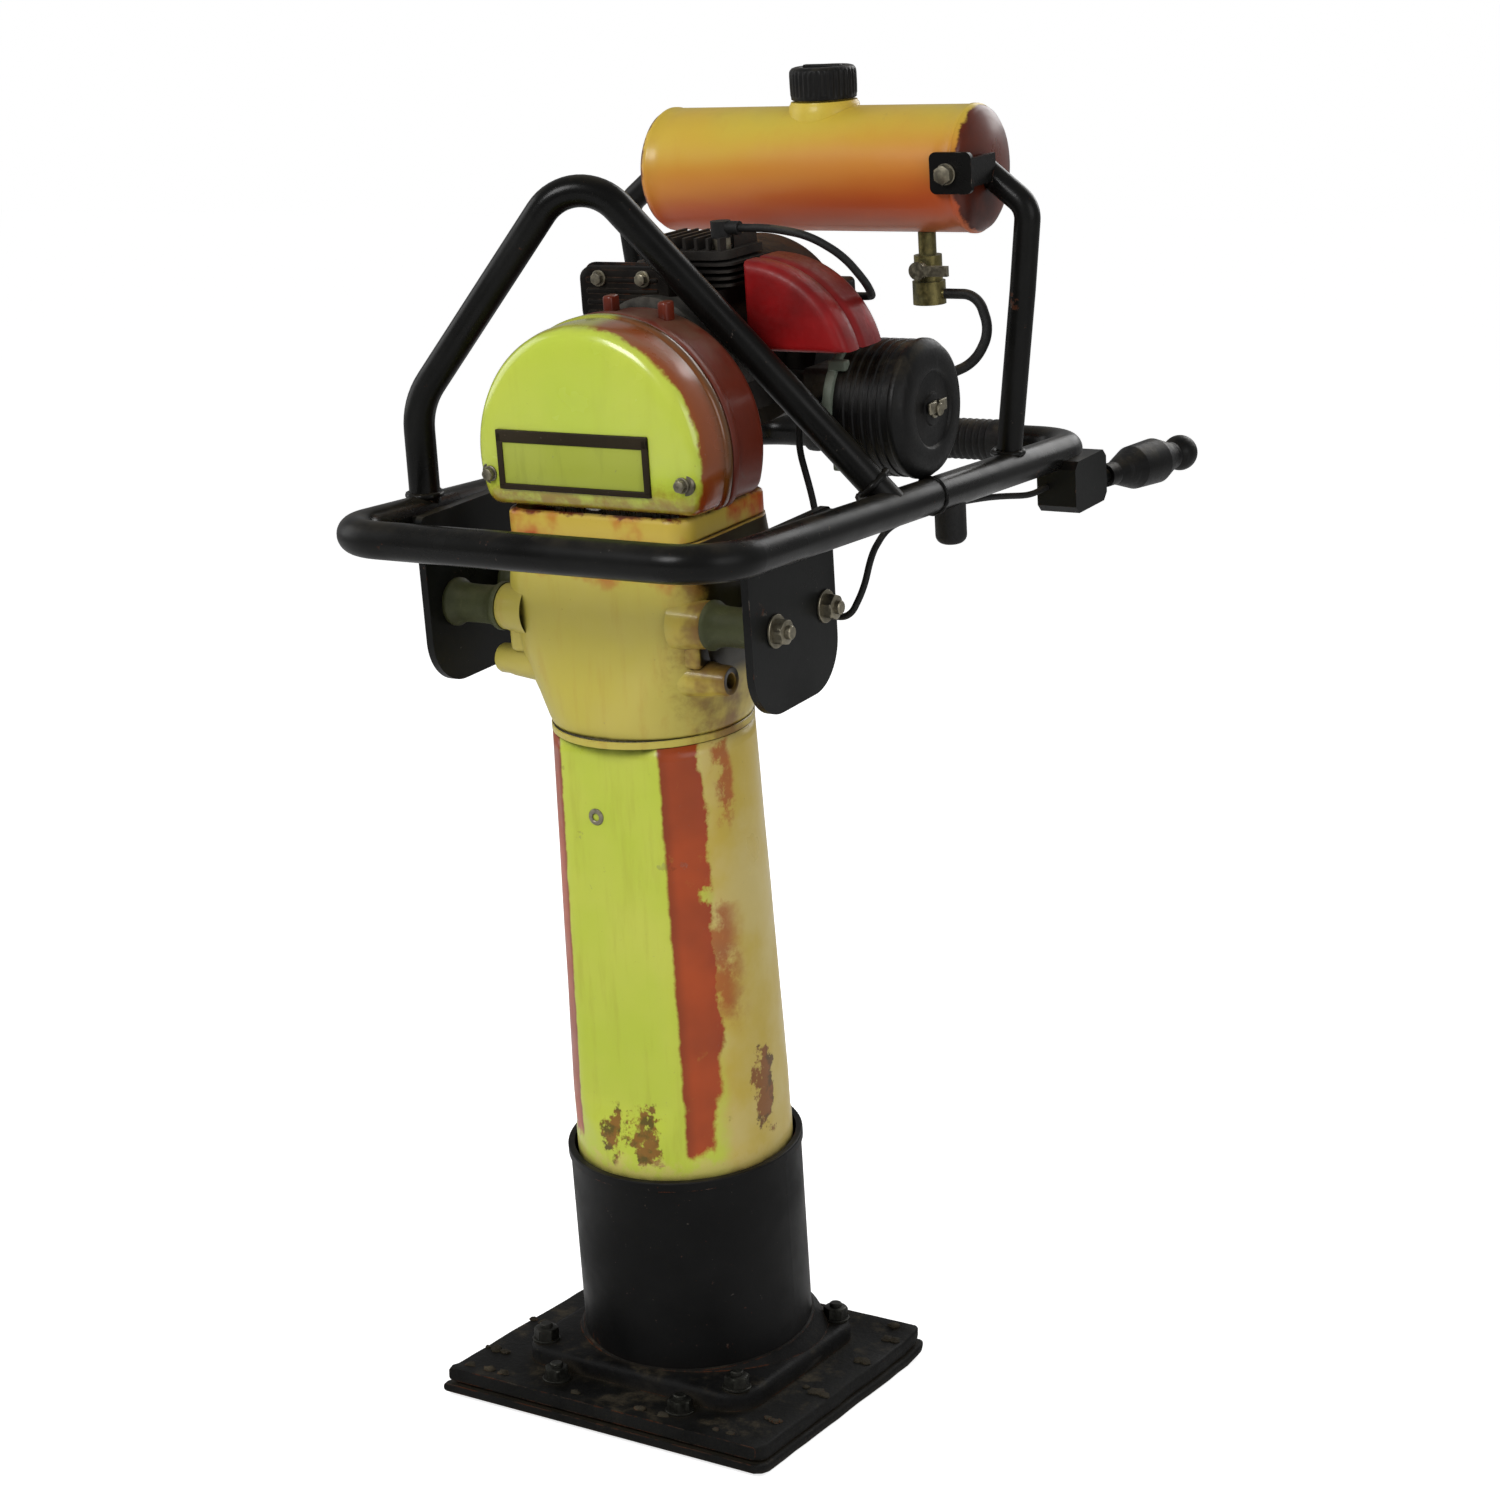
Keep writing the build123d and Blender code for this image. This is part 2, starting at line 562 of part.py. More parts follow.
def grip_sleeve():
    """Rubber sleeve over the middle of the rear bar."""
    z = ring_z(RING_BACK)
    return cyl_x(RING_R + 3.5, -96, 96, y=RING_BACK, z=z) - cyl_x(RING_R, -97, 97, y=RING_BACK, z=z)


def on_hoop(x, z):
    """Point of the hoop's upright plane, which runs slantwise across the frame."""
    return x, 24 + 0.41 * x, z


def hoop():
    """Guard hoop: up from the left arm, over the cylinder, and down to the right arm."""
    route = [on_hoop(-RING_HALF, 650), on_hoop(-RING_HALF + 1, 737), on_hoop(-37, 906), on_hoop(RING_HALF, 652)]
    tube = bent(route, HOOP_R, [58, 36], TUBE_WALL)
    return tube - arm_bar(-1) - arm_bar(1) - block(-HIGH, HIGH, -HIGH, HIGH, 0, 640)


def stand(side):
    """Bent tube from an arm up to the end of the tank."""
    y = 288
    route = [(156, y, ring_z(y)), (174, y, 775), (181, y, 838), (142, y + 2, 868)]
    points = [(side * x, py, z) for x, py, z in route]
    tube = bent(points, STAND_R, [150, 18], TUBE_WALL)
    tube -= arm_bar(side)
    tank = tank_outside(0)
    return (tube - tank).solids().sort_by(SortBy.VOLUME)[-1]


def tank_tab():
    """Angle tab on the right stand: a bolted leaf before the tank and a web past its end."""
    leaf = block(122, 157, 242.5, 246.5, 853, 884)
    leaf = fillet(leaf.edges().filter_by(Axis.Y), 5)
    tab = leaf + block(152, 156, 246, 286, 858, 879) - stand(1)
    return tab.solids().sort_by(SortBy.VOLUME)[-1]


def side_plate(side):
    """Hanging plate of the handle frame, with round lower corners and two bolt holes."""
    y0, y1, z0, z1 = -82, 36, 532, 662
    plate = block(PLATE_X, PLATE_X + PLATE_THICK, y0, y1, z0, z1)
    plate = fillet(plate.edges().filter_by(Axis.X).group_by(Axis.Z)[0], 36)
    plate = fillet(plate.edges().filter_by(Axis.X).group_by(Axis.Z)[-1], 5)
    plate += block(PLATE_X, RING_HALF - RING_R, y0 + 6, y1 - 6, 648, 661)
    for y in MOUNT_YS:
        plate -= cyl_x(5, PLATE_X - 1, PLATE_X + PLATE_THICK + 1, y=y, z=MOUNT_Z)
    return plate if side > 0 else plate.mirror(Plane.YZ)


def rubber_mounts():
    """Four rubber buffers between the neck and the side plates."""
    mounts = []
    for side in (-1, 1):
        for y in MOUNT_YS:
            low, high = sorted((side * NECK_HALF, side * PLATE_X))
            mounts.append(cyl_x(MOUNT_R, low, high, y=y, z=MOUNT_Z))
    return Compound(mounts)


def frame_bolts():
    """Nuts and studs on the outside of the side plates, and the bolt head on the tank's tab."""
    nuts = []
    for side in (-1, 1):
        for y in MOUNT_YS:
            nut = Pos(PLATE_X + PLATE_THICK, y, MOUNT_Z) * Rot(0, 90, 0) * (hexagon_bar(17, 8) + cyl_z(5, 8, 11))
            nut += cyl_x(5, PLATE_X, PLATE_X + PLATE_THICK, y=y, z=MOUNT_Z)
            nuts.append(nut if side > 0 else nut.mirror(Plane.YZ))
    nuts.append(Pos(136, 242.5, TAB_BOLT_Z) * Rot(90, 0, 0) * (cyl_z(8, 0, 1.5) + hexagon_bar(13, 6)))
    return Compound([solid for nut in nuts for solid in nut.solids()])


def arm_pad():
    """Round rubber buffer under the right arm."""
    pad = cyl_z(12, 600, 640, x=RING_HALF - 3, y=186)
    pad = fillet(pad.edges().group_by(Axis.Z)[0], 7)
    return (pad - arm_bar(1)).solids().sort_by(Axis.Z)[0]


# ---- throttle ----
HINGE_Y, HINGE_Z = 404, 601
LEVER_START, LEVER_END = Vector(172, 416, 601), Vector(198, 545, 599)


def throttle_block():
    """Clamp block under the rear corner of the right arm."""
    body = block(150, 184, 352, 412, 586, 628)
    body = chamfer(body.edges().filter_by(Axis.X), 6)
    body -= frame_tube(RING_BACK) + bent([frame_point(-1, SEAM_Y), frame_point(-1, RING_BACK),
                                          frame_point(1, RING_BACK), frame_point(1, SEAM_Y)],
                                         RING_R - 1, RING_CORNER)
    body -= block(165, 175, HINGE_Y - 11, HINGE_Y + 20, HINGE_Z - 12, HINGE_Z + 12)
    return body.solids().sort_by(SortBy.VOLUME)[-1] + cyl_x(3, 164, 176, y=HINGE_Y, z=HINGE_Z)


def throttle_arm():
    """Flat tongue in the block's slot with the rod that carries the grip."""
    tongue = cyl_x(8, 165.4, 174.6, y=HINGE_Y, z=HINGE_Z)
    tongue += block(165.4, 174.6, HINGE_Y, HINGE_Y + 19, HINGE_Z - 5, HINGE_Z + 5)
    plane = Plane(origin=LEVER_START, z_dir=LEVER_END - LEVER_START)
    rod = extrude(plane * Circle(6), (LEVER_END - LEVER_START).length - 8)
    return tongue + rod - cyl_x(3 + RUN_FIT, 160, 180, y=HINGE_Y, z=HINGE_Z)


def throttle_grip():
    """Moulded grip: a bulge, a neck and a ball."""
    length = (LEVER_END - LEVER_START).length
    outline = make_face(Polyline((6, 14), (9.5, 14), (9.5, 26), (18, 52), (19, 84), (11.5, 106),
                                 (11.5, length - 22), (6, length - 22), close=True))
    body = revolve(Plane.XZ * outline, Axis.Z) + Pos(0, 0, length - 9) * Sphere(15)
    body -= cyl_z(6, -1, length - 8)
    plane = Plane(origin=LEVER_START, z_dir=LEVER_END - LEVER_START)
    return plane.location * body


CABLE_ROUTE = [(158, 352, 607), (158, 322, 607), (148, 274, 616), (138, 224, 621), (137, 166, 625),
               (142, 112, 627), (150, 74, 618), (151, 58, 596), (142, 52, 576), (125, 54, 574), (114, 64, 594),
               (104, 78, 644), (90, 80, 694), (84, 98, 718), (84, 128, 718)]


def throttle_cable():
    return cord("throttle_cable", CABLE_ROUTE, 2.5)


# ---- fuel ----
def tank_outside(inset):
    """Drum along X with dished ends."""
    radius, half, dish = TANK_R - inset, TANK_HALF, TANK_DISH - inset
    sphere_r = (radius**2 + dish**2) / (2 * dish)
    arc = ThreePointArc((half, radius), (half + sphere_r - sqrt(sphere_r**2 - (radius / 2)**2)
                                         + dish - 2 * (sphere_r - sqrt(sphere_r**2 - (radius / 2)**2)),
                                         radius / 2), (half + dish, 0))
    top = Line((-half, radius), (half, radius))
    outline = make_face([top, arc, Line((half + dish, 0), (-half - dish, 0)),
                         arc.mirror(Plane.YZ)])
    drum = revolve(Plane.XZ * outline, Axis.X)
    return Pos(0, TANK_Y, TANK_Z) * drum


def fuel_tank():
    """Hollow drum with a raised, threaded filler neck."""
    tank = tank_outside(0) + cyl_z(CAP_R + 2, TANK_Z, CAP_BOTTOM - 3, x=NECK_X, y=TANK_Y)
    tank += cyl_z(22, TANK_Z, CAP_BOTTOM + 14, x=NECK_X, y=TANK_Y)
    tank -= tank_outside(TANK_WALL)
    return tank - cyl_z(19, TANK_Z, CAP_TOP, x=NECK_X, y=TANK_Y)


def fuel_cap():
    """Ribbed screw cap."""
    cap = cyl_z(CAP_R, CAP_BOTTOM - 2, CAP_TOP, x=NECK_X, y=TANK_Y)
    cap = fillet(cap.edges().group_by(Axis.Z)[-1], 2.5)
    for rib in range(24):
        cap += Pos(NECK_X, TANK_Y, 0) * Rot(0, 0, 15 * rib) * cyl_z(1.3, CAP_BOTTOM + 1, CAP_TOP - 5, x=CAP_R - 0.3)
    return cap - cyl_z(22.05, CAP_BOTTOM - 3, CAP_BOTTOM + 14.5, x=NECK_X, y=TANK_Y)


COCK_X, COCK_Z = 90, 790


def fuel_cock():
    """Cock under the tank: threaded neck, round body and outlet spigot."""
    body = cyl_z(7, 800, 819, x=COCK_X, y=TANK_Y) - tank_outside(0)
    body += cyl_z(11, 780, 800, x=COCK_X, y=TANK_Y) + cyl_z(13, 762, 780, x=COCK_X, y=TANK_Y)
    body = body + cyl_x(4, COCK_X, COCK_X + 14, y=TANK_Y, z=770)
    return body - cyl_y(4 + RUN_FIT, TANK_Y - 14, TANK_Y - 2, x=COCK_X, z=COCK_Z)


def cock_lever():
    """Quarter-turn lever on the front of the cock."""
    lever = cyl_y(4, TANK_Y - 20, TANK_Y - 3, x=COCK_X, z=COCK_Z)
    lever += cyl_y(7, TANK_Y - 20, TANK_Y - 14, x=COCK_X, z=COCK_Z)
    return lever + block(COCK_X, COCK_X + 26, TANK_Y - 20, TANK_Y - 16, COCK_Z - 4, COCK_Z + 4)


HOSE_ROUTE = [(104, 295.5, 770), (132, 295.5, 770), (143, 292, 742), (136, 278, 720), (116, 254, 711),
              (96, 230, 709), (82, 206, 717), (82, 180, 717)]


def fuel_hose():
    return cord("fuel_hose", HOSE_ROUTE, 4)


def main():
    os.makedirs("parts", exist_ok=True)
    sole, deck = shoe()
    save("shoe_sole", sole, leaned=False)
    save("shoe_deck", deck, leaned=False)
    save("foot_boss", foot_boss(), leaned=False)
    save("foot_bolts", foot_bolts(), leaned=False)
    leaned = {
        "foot_sleeve": foot_sleeve(),
        "spring_cylinder": spring_cylinder(),
        "cylinder_head": cylinder_head(),
        "lower_spring": spring(BOSS_TOP, PISTON_LOW, 7),
        "upper_spring": spring(PISTON_LOW + PISTON_HEIGHT, CYL_TOP, 7),
        "leg_casting": leg_casting(),
        "leg_plug": leg_plug(),
        "guide_cylinder": guide_cylinder(),
        "guide_bushes": guide_bushes(),
        "neck_casting": neck_casting(),
        "crankcase": crankcase(),
        "crank_cover": crank_cover(),
        "name_plate": name_plate(),
        "cover_bolts": cover_bolts(),
        "crank_gear": crank_gear(),
        "crank_bearings": crank_bearings(),
        "con_rod": con_rod(),
        "wrist_pin": wrist_pin(),
        "plunger": plunger(),
        "clutch_drum": clutch_drum(),
        "clutch_housing": clutch_housing(),
        "clutch_shoes": clutch_shoes(),
        "engine_shaft": engine_shaft(),
        "flywheel": flywheel(),
        "engine_block": engine_block(),
        "engine_barrel": engine_barrel(),
        "cylinder_top": cylinder_top(),
        "spark_plug": spark_plug(),
        "plug_cap": plug_cap(),
        "plug_lead": plug_lead(),
        "muffler": muffler(),
        "cowl": cowl(),
        "fan_housing": fan_housing(),
        "starter_grip": starter_grip() + starter_rope(),
        "ignition_coil": ignition_coil(),
        "carburettor": carburettor() + float_bowl(),
        "air_cleaner": air_cleaner(),
        "cleaner_base": cleaner_base(),
        "handle_front_tube": frame_tube(RING_FRONT),
        "handle_rear_tube": frame_tube(RING_BACK),
        "grip_sleeve": grip_sleeve(),
        "guard_hoop": hoop(),
        "tank_stands": Compound([stand(-1), stand(1), tank_tab()]),
        "side_plates": Compound([side_plate(-1), side_plate(1)]),
        "rubber_mounts": rubber_mounts(),
        "frame_bolts": frame_bolts(),
        "arm_pad": arm_pad(),
        "throttle_block": throttle_block(),
        "throttle_arm": throttle_arm(),
        "throttle_grip": throttle_grip(),
        "throttle_cable": throttle_cable(),
        "fuel_tank": fuel_tank(),
        "fuel_cap": fuel_cap(),
        "fuel_cock": fuel_cock(),
        "cock_lever": cock_lever(),
        "fuel_hose": fuel_hose(),
    }
    for name, shape in leaned.items():
        save(name, shape)


if __name__ == "__main__":
    main()
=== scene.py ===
import bmesh
import bpy
from math import asin, cos, degrees, pi, radians, sin, sqrt
from mathutils import Matrix, Vector, noise


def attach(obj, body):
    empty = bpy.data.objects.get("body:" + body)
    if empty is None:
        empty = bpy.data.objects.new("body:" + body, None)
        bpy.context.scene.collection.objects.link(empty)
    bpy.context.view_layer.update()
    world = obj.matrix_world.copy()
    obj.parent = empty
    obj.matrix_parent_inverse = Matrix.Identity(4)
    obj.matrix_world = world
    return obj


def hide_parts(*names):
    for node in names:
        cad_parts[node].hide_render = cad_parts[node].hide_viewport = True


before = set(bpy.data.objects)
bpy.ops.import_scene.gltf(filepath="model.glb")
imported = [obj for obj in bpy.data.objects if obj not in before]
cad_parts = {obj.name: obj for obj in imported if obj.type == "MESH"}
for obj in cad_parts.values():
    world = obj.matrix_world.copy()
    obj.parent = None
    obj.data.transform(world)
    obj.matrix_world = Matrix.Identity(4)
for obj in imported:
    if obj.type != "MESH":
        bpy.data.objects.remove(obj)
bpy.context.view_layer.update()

# The leg leans forward by 7 degrees about its foot. Its pieces are built upright in millimetres, then placed with LEG.
LEAN = radians(7)
LEG_FOOT = (0, 15, 38)
LEG_FOOT_M = tuple(c / 1000 for c in LEG_FOOT)
LEG = Matrix.Translation(LEG_FOOT_M) @ Matrix.Rotation(LEAN, 4, "X") @ Matrix.Scale(0.001, 4)
FLOOR = Matrix.Scale(0.001, 4)

DOME_R, DOME_Z, DOME_BOTTOM = 97, 707, 668
LEG_R_LOW, LEG_R_TOP, LEG_BOTTOM, LEG_TOP, FLAT_HALF = 83.4, 75.0, 95, 499, 42
MOUNT_YS, MOUNT_Z = (-50, 20), 592
TANK_Y, TANK_Z, TANK_HALF, TANK_DISH = 295.5, 866, 139.5, 9.0
CLEANER_Y, CLEANER_Z, CLEANER_CLIP_R = 158, 708, 52.6
CAP_X, CAP_BOTTOM, CAP_TOP, CAP_R = 5, 922, 945, 25


# ---------------------------------------------------------------- materials
def linear(r, g, b):
    """Colour given as 0-255 display values."""
    return tuple(((c / 255 + 0.055) / 1.055) ** 2.4 if c > 10 else c / 255 / 12.92 for c in (r, g, b)) + (1,)


class Nodes:
    """Small helper that builds one material's node tree."""

    def __init__(self, name):
        self.mat = bpy.data.materials.new(name)
        self.mat.use_nodes = True
        self.tree = self.mat.node_tree
        self.bsdf = self.tree.nodes["Principled BSDF"]
        self.coord = self.new("ShaderNodeTexCoord").outputs["Object"]

    def new(self, kind, **values):
        node = self.tree.nodes.new(kind)
        for key, value in values.items():
            if hasattr(node, key):
                setattr(node, key, value)
            else:
                node.inputs[key.replace("_", " ")].default_value = value
        return node

    def link(self, a, b):
        self.tree.links.new(a, b)

    def math(self, op, a, b=0.0, clamp=False):
        node = self.new("ShaderNodeMath", operation=op, use_clamp=clamp)
        for i, v in enumerate((a, b)):
            if isinstance(v, (int, float)):
                node.inputs[i].default_value = v
            else:
                self.link(v, node.inputs[i])
        return node.outputs[0]

    def times(self, a, b):
        return self.math("MULTIPLY", a, b)

    def stretch(self, x, y, z):
        node = self.new("ShaderNodeMapping")
        node.inputs["Scale"].default_value = (x, y, z)
        self.link(self.coord, node.inputs["Vector"])
        return node.outputs[0]

    def noise(self, scale, detail=4, rough=0.55, vector=None):
        node = self.new("ShaderNodeTexNoise")
        node.inputs["Scale"].default_value = scale
        node.inputs["Detail"].default_value = detail
        node.inputs["Roughness"].default_value = rough
        self.link(vector or self.coord, node.inputs["Vector"])
        return node.outputs["Fac"]

    def range(self, value, lo, hi, to_lo=0.0, to_hi=1.0, smooth=True):
        node = self.new("ShaderNodeMapRange", clamp=True)
        node.interpolation_type = "SMOOTHSTEP" if smooth else "LINEAR"
        self.link(value, node.inputs["Value"])
        for key, v in (("From Min", lo), ("From Max", hi), ("To Min", to_lo), ("To Max", to_hi)):
            node.inputs[key].default_value = v
        return node.outputs[0]

    def mix(self, factor, a, b):
        node = self.new("ShaderNodeMix", data_type="RGBA")
        for socket, v in ((node.inputs[0], factor), (node.inputs[6], a), (node.inputs[7], b)):
            if isinstance(v, (int, float, tuple)):
                socket.default_value = v
            else:
                self.link(v, socket)
        return node.outputs[2]

    def place(self):
        """Object position in the leg's own frame, in millimetres: sideways, backwards, up the leg."""
        node = self.new("ShaderNodeMapping", vector_type="TEXTURE")
        node.inputs["Location"].default_value = LEG_FOOT_M
        node.inputs["Rotation"].default_value = (LEAN, 0, 0)
        node.inputs["Scale"].default_value = (0.001, 0.001, 0.001)
        self.link(self.coord, node.inputs["Vector"])
        split = self.new("ShaderNodeSeparateXYZ")
        self.link(node.outputs[0], split.inputs[0])
        return split.outputs[0], split.outputs[1], split.outputs[2]

    def normal_parts(self):
        """Sideways, backwards and upward parts of the surface's own direction, at rest."""
        split = self.new("ShaderNodeSeparateXYZ")
        self.link(self.new("ShaderNodeTexCoord").outputs["Normal"], split.inputs[0])
        return split.outputs

    def edges(self, radius, lo=0.02, hi=0.2):
        """1 along sharp edges, 0 on open faces."""
        bevel = self.new("ShaderNodeBevel", samples=4)
        bevel.inputs["Radius"].default_value = radius
        dot = self.new("ShaderNodeVectorMath", operation="DOT_PRODUCT")
        self.link(bevel.outputs[0], dot.inputs[0])
        self.link(self.new("ShaderNodeNewGeometry").outputs["Normal"], dot.inputs[1])
        return self.range(self.math("SUBTRACT", 1.0, dot.outputs["Value"]), lo, hi)

    def crevices(self, distance):
        """1 in tight corners, 0 in the open."""
        node = self.new("ShaderNodeAmbientOcclusion", samples=4)
        node.inputs["Distance"].default_value = distance
        return self.range(node.outputs["AO"], 0.25, 0.85, 1.0, 0.0)

    def finish(self, colour, rough, metal=None, height=None, bump=0.3, distance=0.001, **plain):
        for socket, v in (("Base Color", colour), ("Roughness", rough), ("Metallic", metal)):
            if v is None:
                continue
            if isinstance(v, (int, float, tuple)):
                self.bsdf.inputs[socket].default_value = v
            else:
                self.link(v, self.bsdf.inputs[socket])
        if height is not None:
            node = self.new("ShaderNodeBump")
            node.inputs["Strength"].default_value = bump
            node.inputs["Distance"].default_value = distance
            self.link(height, node.inputs["Height"])
            self.link(node.outputs[0], self.bsdf.inputs["Normal"])
        for key, v in plain.items():
            self.bsdf.inputs[key.replace("_", " ")].default_value = v
        return self.mat


BARE = linear(120, 116, 108)
RUST = linear(112, 58, 28)
PATCH_BROWN = linear(126, 62, 24)
DUST = linear(128, 116, 92)
# near-black for painted shade in crevices, and for soot and stains
SHADE_AND_SOOT = linear(20, 16, 13)


def paint(name, colour, faded, deep, chip=RUST, wear=0.5, rough=0.32, dust=0.35, zones=None, coat=0.2,
          edge=0.0012, streaks=0.5, specular=0.3):
    """Brushed and sprayed machine paint: uneven fading, run-off streaks, chipped edges, dust on top, and painted shade
    with grime darkening the corners.
    """
    n = Nodes(name)
    cloudy = n.range(n.noise(9, 3), 0.35, 0.68)
    fine = n.noise(70, 5, 0.65)
    run = n.range(n.noise(1, 4, 0.6, n.stretch(95, 95, 9)), 0.5, 0.74, 0.0, streaks)
    tone = n.mix(n.times(cloudy, 0.55), colour, faded)
    tone = n.mix(n.times(run, 0.5), tone, deep)
    if zones:
        tone = zones(n, tone, fine)
    # painted shade: tight corners and crevices darkened towards near-black, with some grime
    grime_and_shade = n.times(n.crevices(0.022), n.range(fine, 0.3, 0.62, 0.45, 1.0))
    tone = n.mix(n.times(grime_and_shade, 0.75), tone, SHADE_AND_SOOT)
    specks = n.range(n.noise(240, 3, 0.7), 0.69, 0.73)
    patches = n.range(n.noise(26, 6, 0.72), 0.665, 0.69)
    worn_edge = n.times(n.edges(edge), n.range(n.noise(48, 5, 0.7), 0.62 - 0.25 * wear, 0.7 - 0.25 * wear))
    bare = n.math("MAXIMUM", n.math("MAXIMUM", worn_edge, n.times(patches, wear)),
                  n.times(specks, wear * 0.8))
    tone = n.mix(bare, tone, n.mix(n.range(fine, 0.4, 0.62), chip, BARE))
    up = n.range(n.normal_parts()[2], 0.35, 0.95, 0.0, dust)
    settled = n.times(up, n.range(n.noise(34, 5, 0.6), 0.36, 0.72))
    tone = n.mix(settled, tone, DUST)
    rough_all = n.math("ADD", n.range(n.noise(16, 4), 0.3, 0.7, rough - 0.07, rough + 0.12),
                       n.times(n.math("MAXIMUM", bare, settled), 0.3), clamp=True)
    height = n.math("SUBTRACT", n.times(n.noise(420, 2), 0.14), n.times(bare, 0.6))
    return n.finish(tone, rough_all, n.times(bare, 0.45), height, 0.55, 0.0005,
                    Coat_Weight=coat, Coat_Roughness=0.16, Specular_IOR_Level=specular)


def both(n, a, b):
    return n.times(a, b)


def band(n, value, lo, hi, soft):
    """1 between lo and hi, with soft sides."""
    return both(n, n.range(value, lo - soft, lo + soft), n.range(value, hi - soft, hi + soft, 1.0, 0.0))


def around(n, x, y):
    """Degrees round the leg: 0 in front, 90 on the right."""
    turn = n.math("ARCTAN2", x, n.times(y, -1.0))
    return n.times(turn, degrees(1))


LIME = linear(186, 200, 62)
LIME_FADED = linear(206, 206, 88)
LIME_DEEP = linear(160, 158, 44)
GOLD = linear(198, 172, 70)
CREAM = linear(206, 186, 112)
ORANGE_RED = linear(178, 64, 22)
DEEP_RED = linear(102, 24, 8)


def leg_zones(n, tone, fine):
    """Lime front, an orange-red stripe of painted shade and reflection beside it on both flanks, golden yellow behind,
    dark red-brown patches near the sleeve.
    """
    x, y, z = n.place()
    turn = around(n, x, y)
    angle = n.math("ABSOLUTE", turn)
    ragged = n.math("ADD", angle, n.range(n.noise(36, 5, 0.7), 0.3, 0.7, -3.0, 3.0, smooth=False))
    uneven = n.math("ADD", z, n.range(n.noise(44, 4, 0.7), 0.3, 0.7, -9, 9, smooth=False))
    tone = n.mix(n.range(ragged, 50, 62), tone, n.mix(n.range(n.noise(14, 4), 0.36, 0.66), GOLD, CREAM))
    # the painted shade stripe's far side: straight above, a pale notch, a wider patch of it below, then narrowing down
    # to the sleeve
    upper = n.range(ragged, 57, 60, 1.0, 0.0)
    narrow = n.math("ADD", ragged, n.range(z, 190, 285, 9.0, 0.0, smooth=False))
    upper = both(n, upper, n.range(narrow, 57, 61, 1.0, 0.0))
    notch = both(n, band(n, uneven, 377, 390, 2.5), n.range(ragged, 50, 53))
    wide_shade = both(n, band(n, uneven, 284, 376, 14), n.range(ragged, 64, 80, 1.0, 0.0))
    wide_shade = both(n, wide_shade, n.range(n.noise(24, 5, 0.7), 0.36, 0.52))
    under_neck = both(n, n.range(uneven, 432, 446), band(n, ragged, 66, 78, 2.5))
    under_neck = both(n, under_neck, n.range(n.noise(30, 5, 0.7), 0.44, 0.56, 0.0, 0.8))
    shade_stripe = n.math("MAXIMUM", upper, n.math("MAXIMUM", n.times(wide_shade, 0.8), under_neck))
    shade_stripe = both(n, shade_stripe, n.range(n.math("ADD", angle, n.range(fine, 0.3, 0.7, -0.6, 0.6)), 33.2, 35.2))
    shade_stripe = both(n, shade_stripe, n.range(uneven, 178.0, 190.0))
    shade_stripe = both(n, shade_stripe, n.math("SUBTRACT", 1.0, n.times(notch, 0.95)))
    # the stripe's colour, painted shade and reflection: orange-red, deepening to dark red towards its front edge
    red = n.mix(n.range(n.noise(7, 4, 0.6), 0.36, 0.66), ORANGE_RED, linear(146, 48, 18))
    red = n.mix(n.range(angle, 34, 41, 0.5, 0.0), red, DEEP_RED)
    tone = n.mix(n.times(shade_stripe, n.range(fine, 0.22, 0.4, 0.82, 0.97)), tone, red)
    # dark red-brown patches just above the sleeve, the front two where the flat front runs out
    for at, width, low, high in ((-8, 6, 182, 206), (10, 8, 180, 213), (84, 7, 196, 250), (-66, 9, 190, 236)):
        here = band(n, n.math("ADD", turn, n.range(n.noise(52, 4, 0.7), 0.3, 0.7, -6, 6)), at - width, at + width, 2)
        here = both(n, here, band(n, n.math("ADD", z, n.range(n.noise(60, 4, 0.7), 0.3, 0.7, -14, 14)), low, high, 4))
        tone = n.mix(n.times(here, 0.88), tone, n.mix(n.range(fine, 0.44, 0.6), PATCH_BROWN, linear(70, 30, 14)))
    low = n.range(n.math("ADD", z, n.range(fine, 0.3, 0.7, -8, 8)), 166, 180, 0.65, 0.0)
    return n.mix(low, tone, CREAM)


def cover_zones(n, tone, fine):
    """Lime face, golden towards the foot, and an orange-red side of painted warm reflection and shade."""
    x, y, z = n.place()
    uneven = n.math("ADD", z, n.range(fine, 0.3, 0.7, -9, 9))
    tone = n.mix(n.range(uneven, 668, 698, 0.9, 0.0), tone, linear(150, 116, 42))
    # painted warm reflection and shade: the sides turn orange-red, fully on the right and weaker on the left
    side = n.range(n.math("ADD", y, n.range(fine, 0.3, 0.7, -1.6, 1.6)), -58.5, -55.0)
    side = both(n, side, n.range(n.math("ADD", x, n.times(z, -0.25)), -196, -182, 0.35, 1.0))
    # painted shade: the red darkens towards the back
    red = n.mix(n.range(y, -40, -22), linear(142, 46, 16), linear(84, 16, 4))
    return n.mix(n.times(side, 0.94), tone, red)


def case_zones(n, tone, fine):
    """Gold on the foot below the dome, blotched with orange-red painted shade."""
    z = n.place()[2]
    low = n.range(n.math("ADD", z, n.range(fine, 0.3, 0.7, -4, 4)), 666, 670, 1.0, 0.0)
    base = n.mix(n.range(n.noise(20, 4), 0.4, 0.62), GOLD, ORANGE_RED)
    return n.mix(low, tone, base)


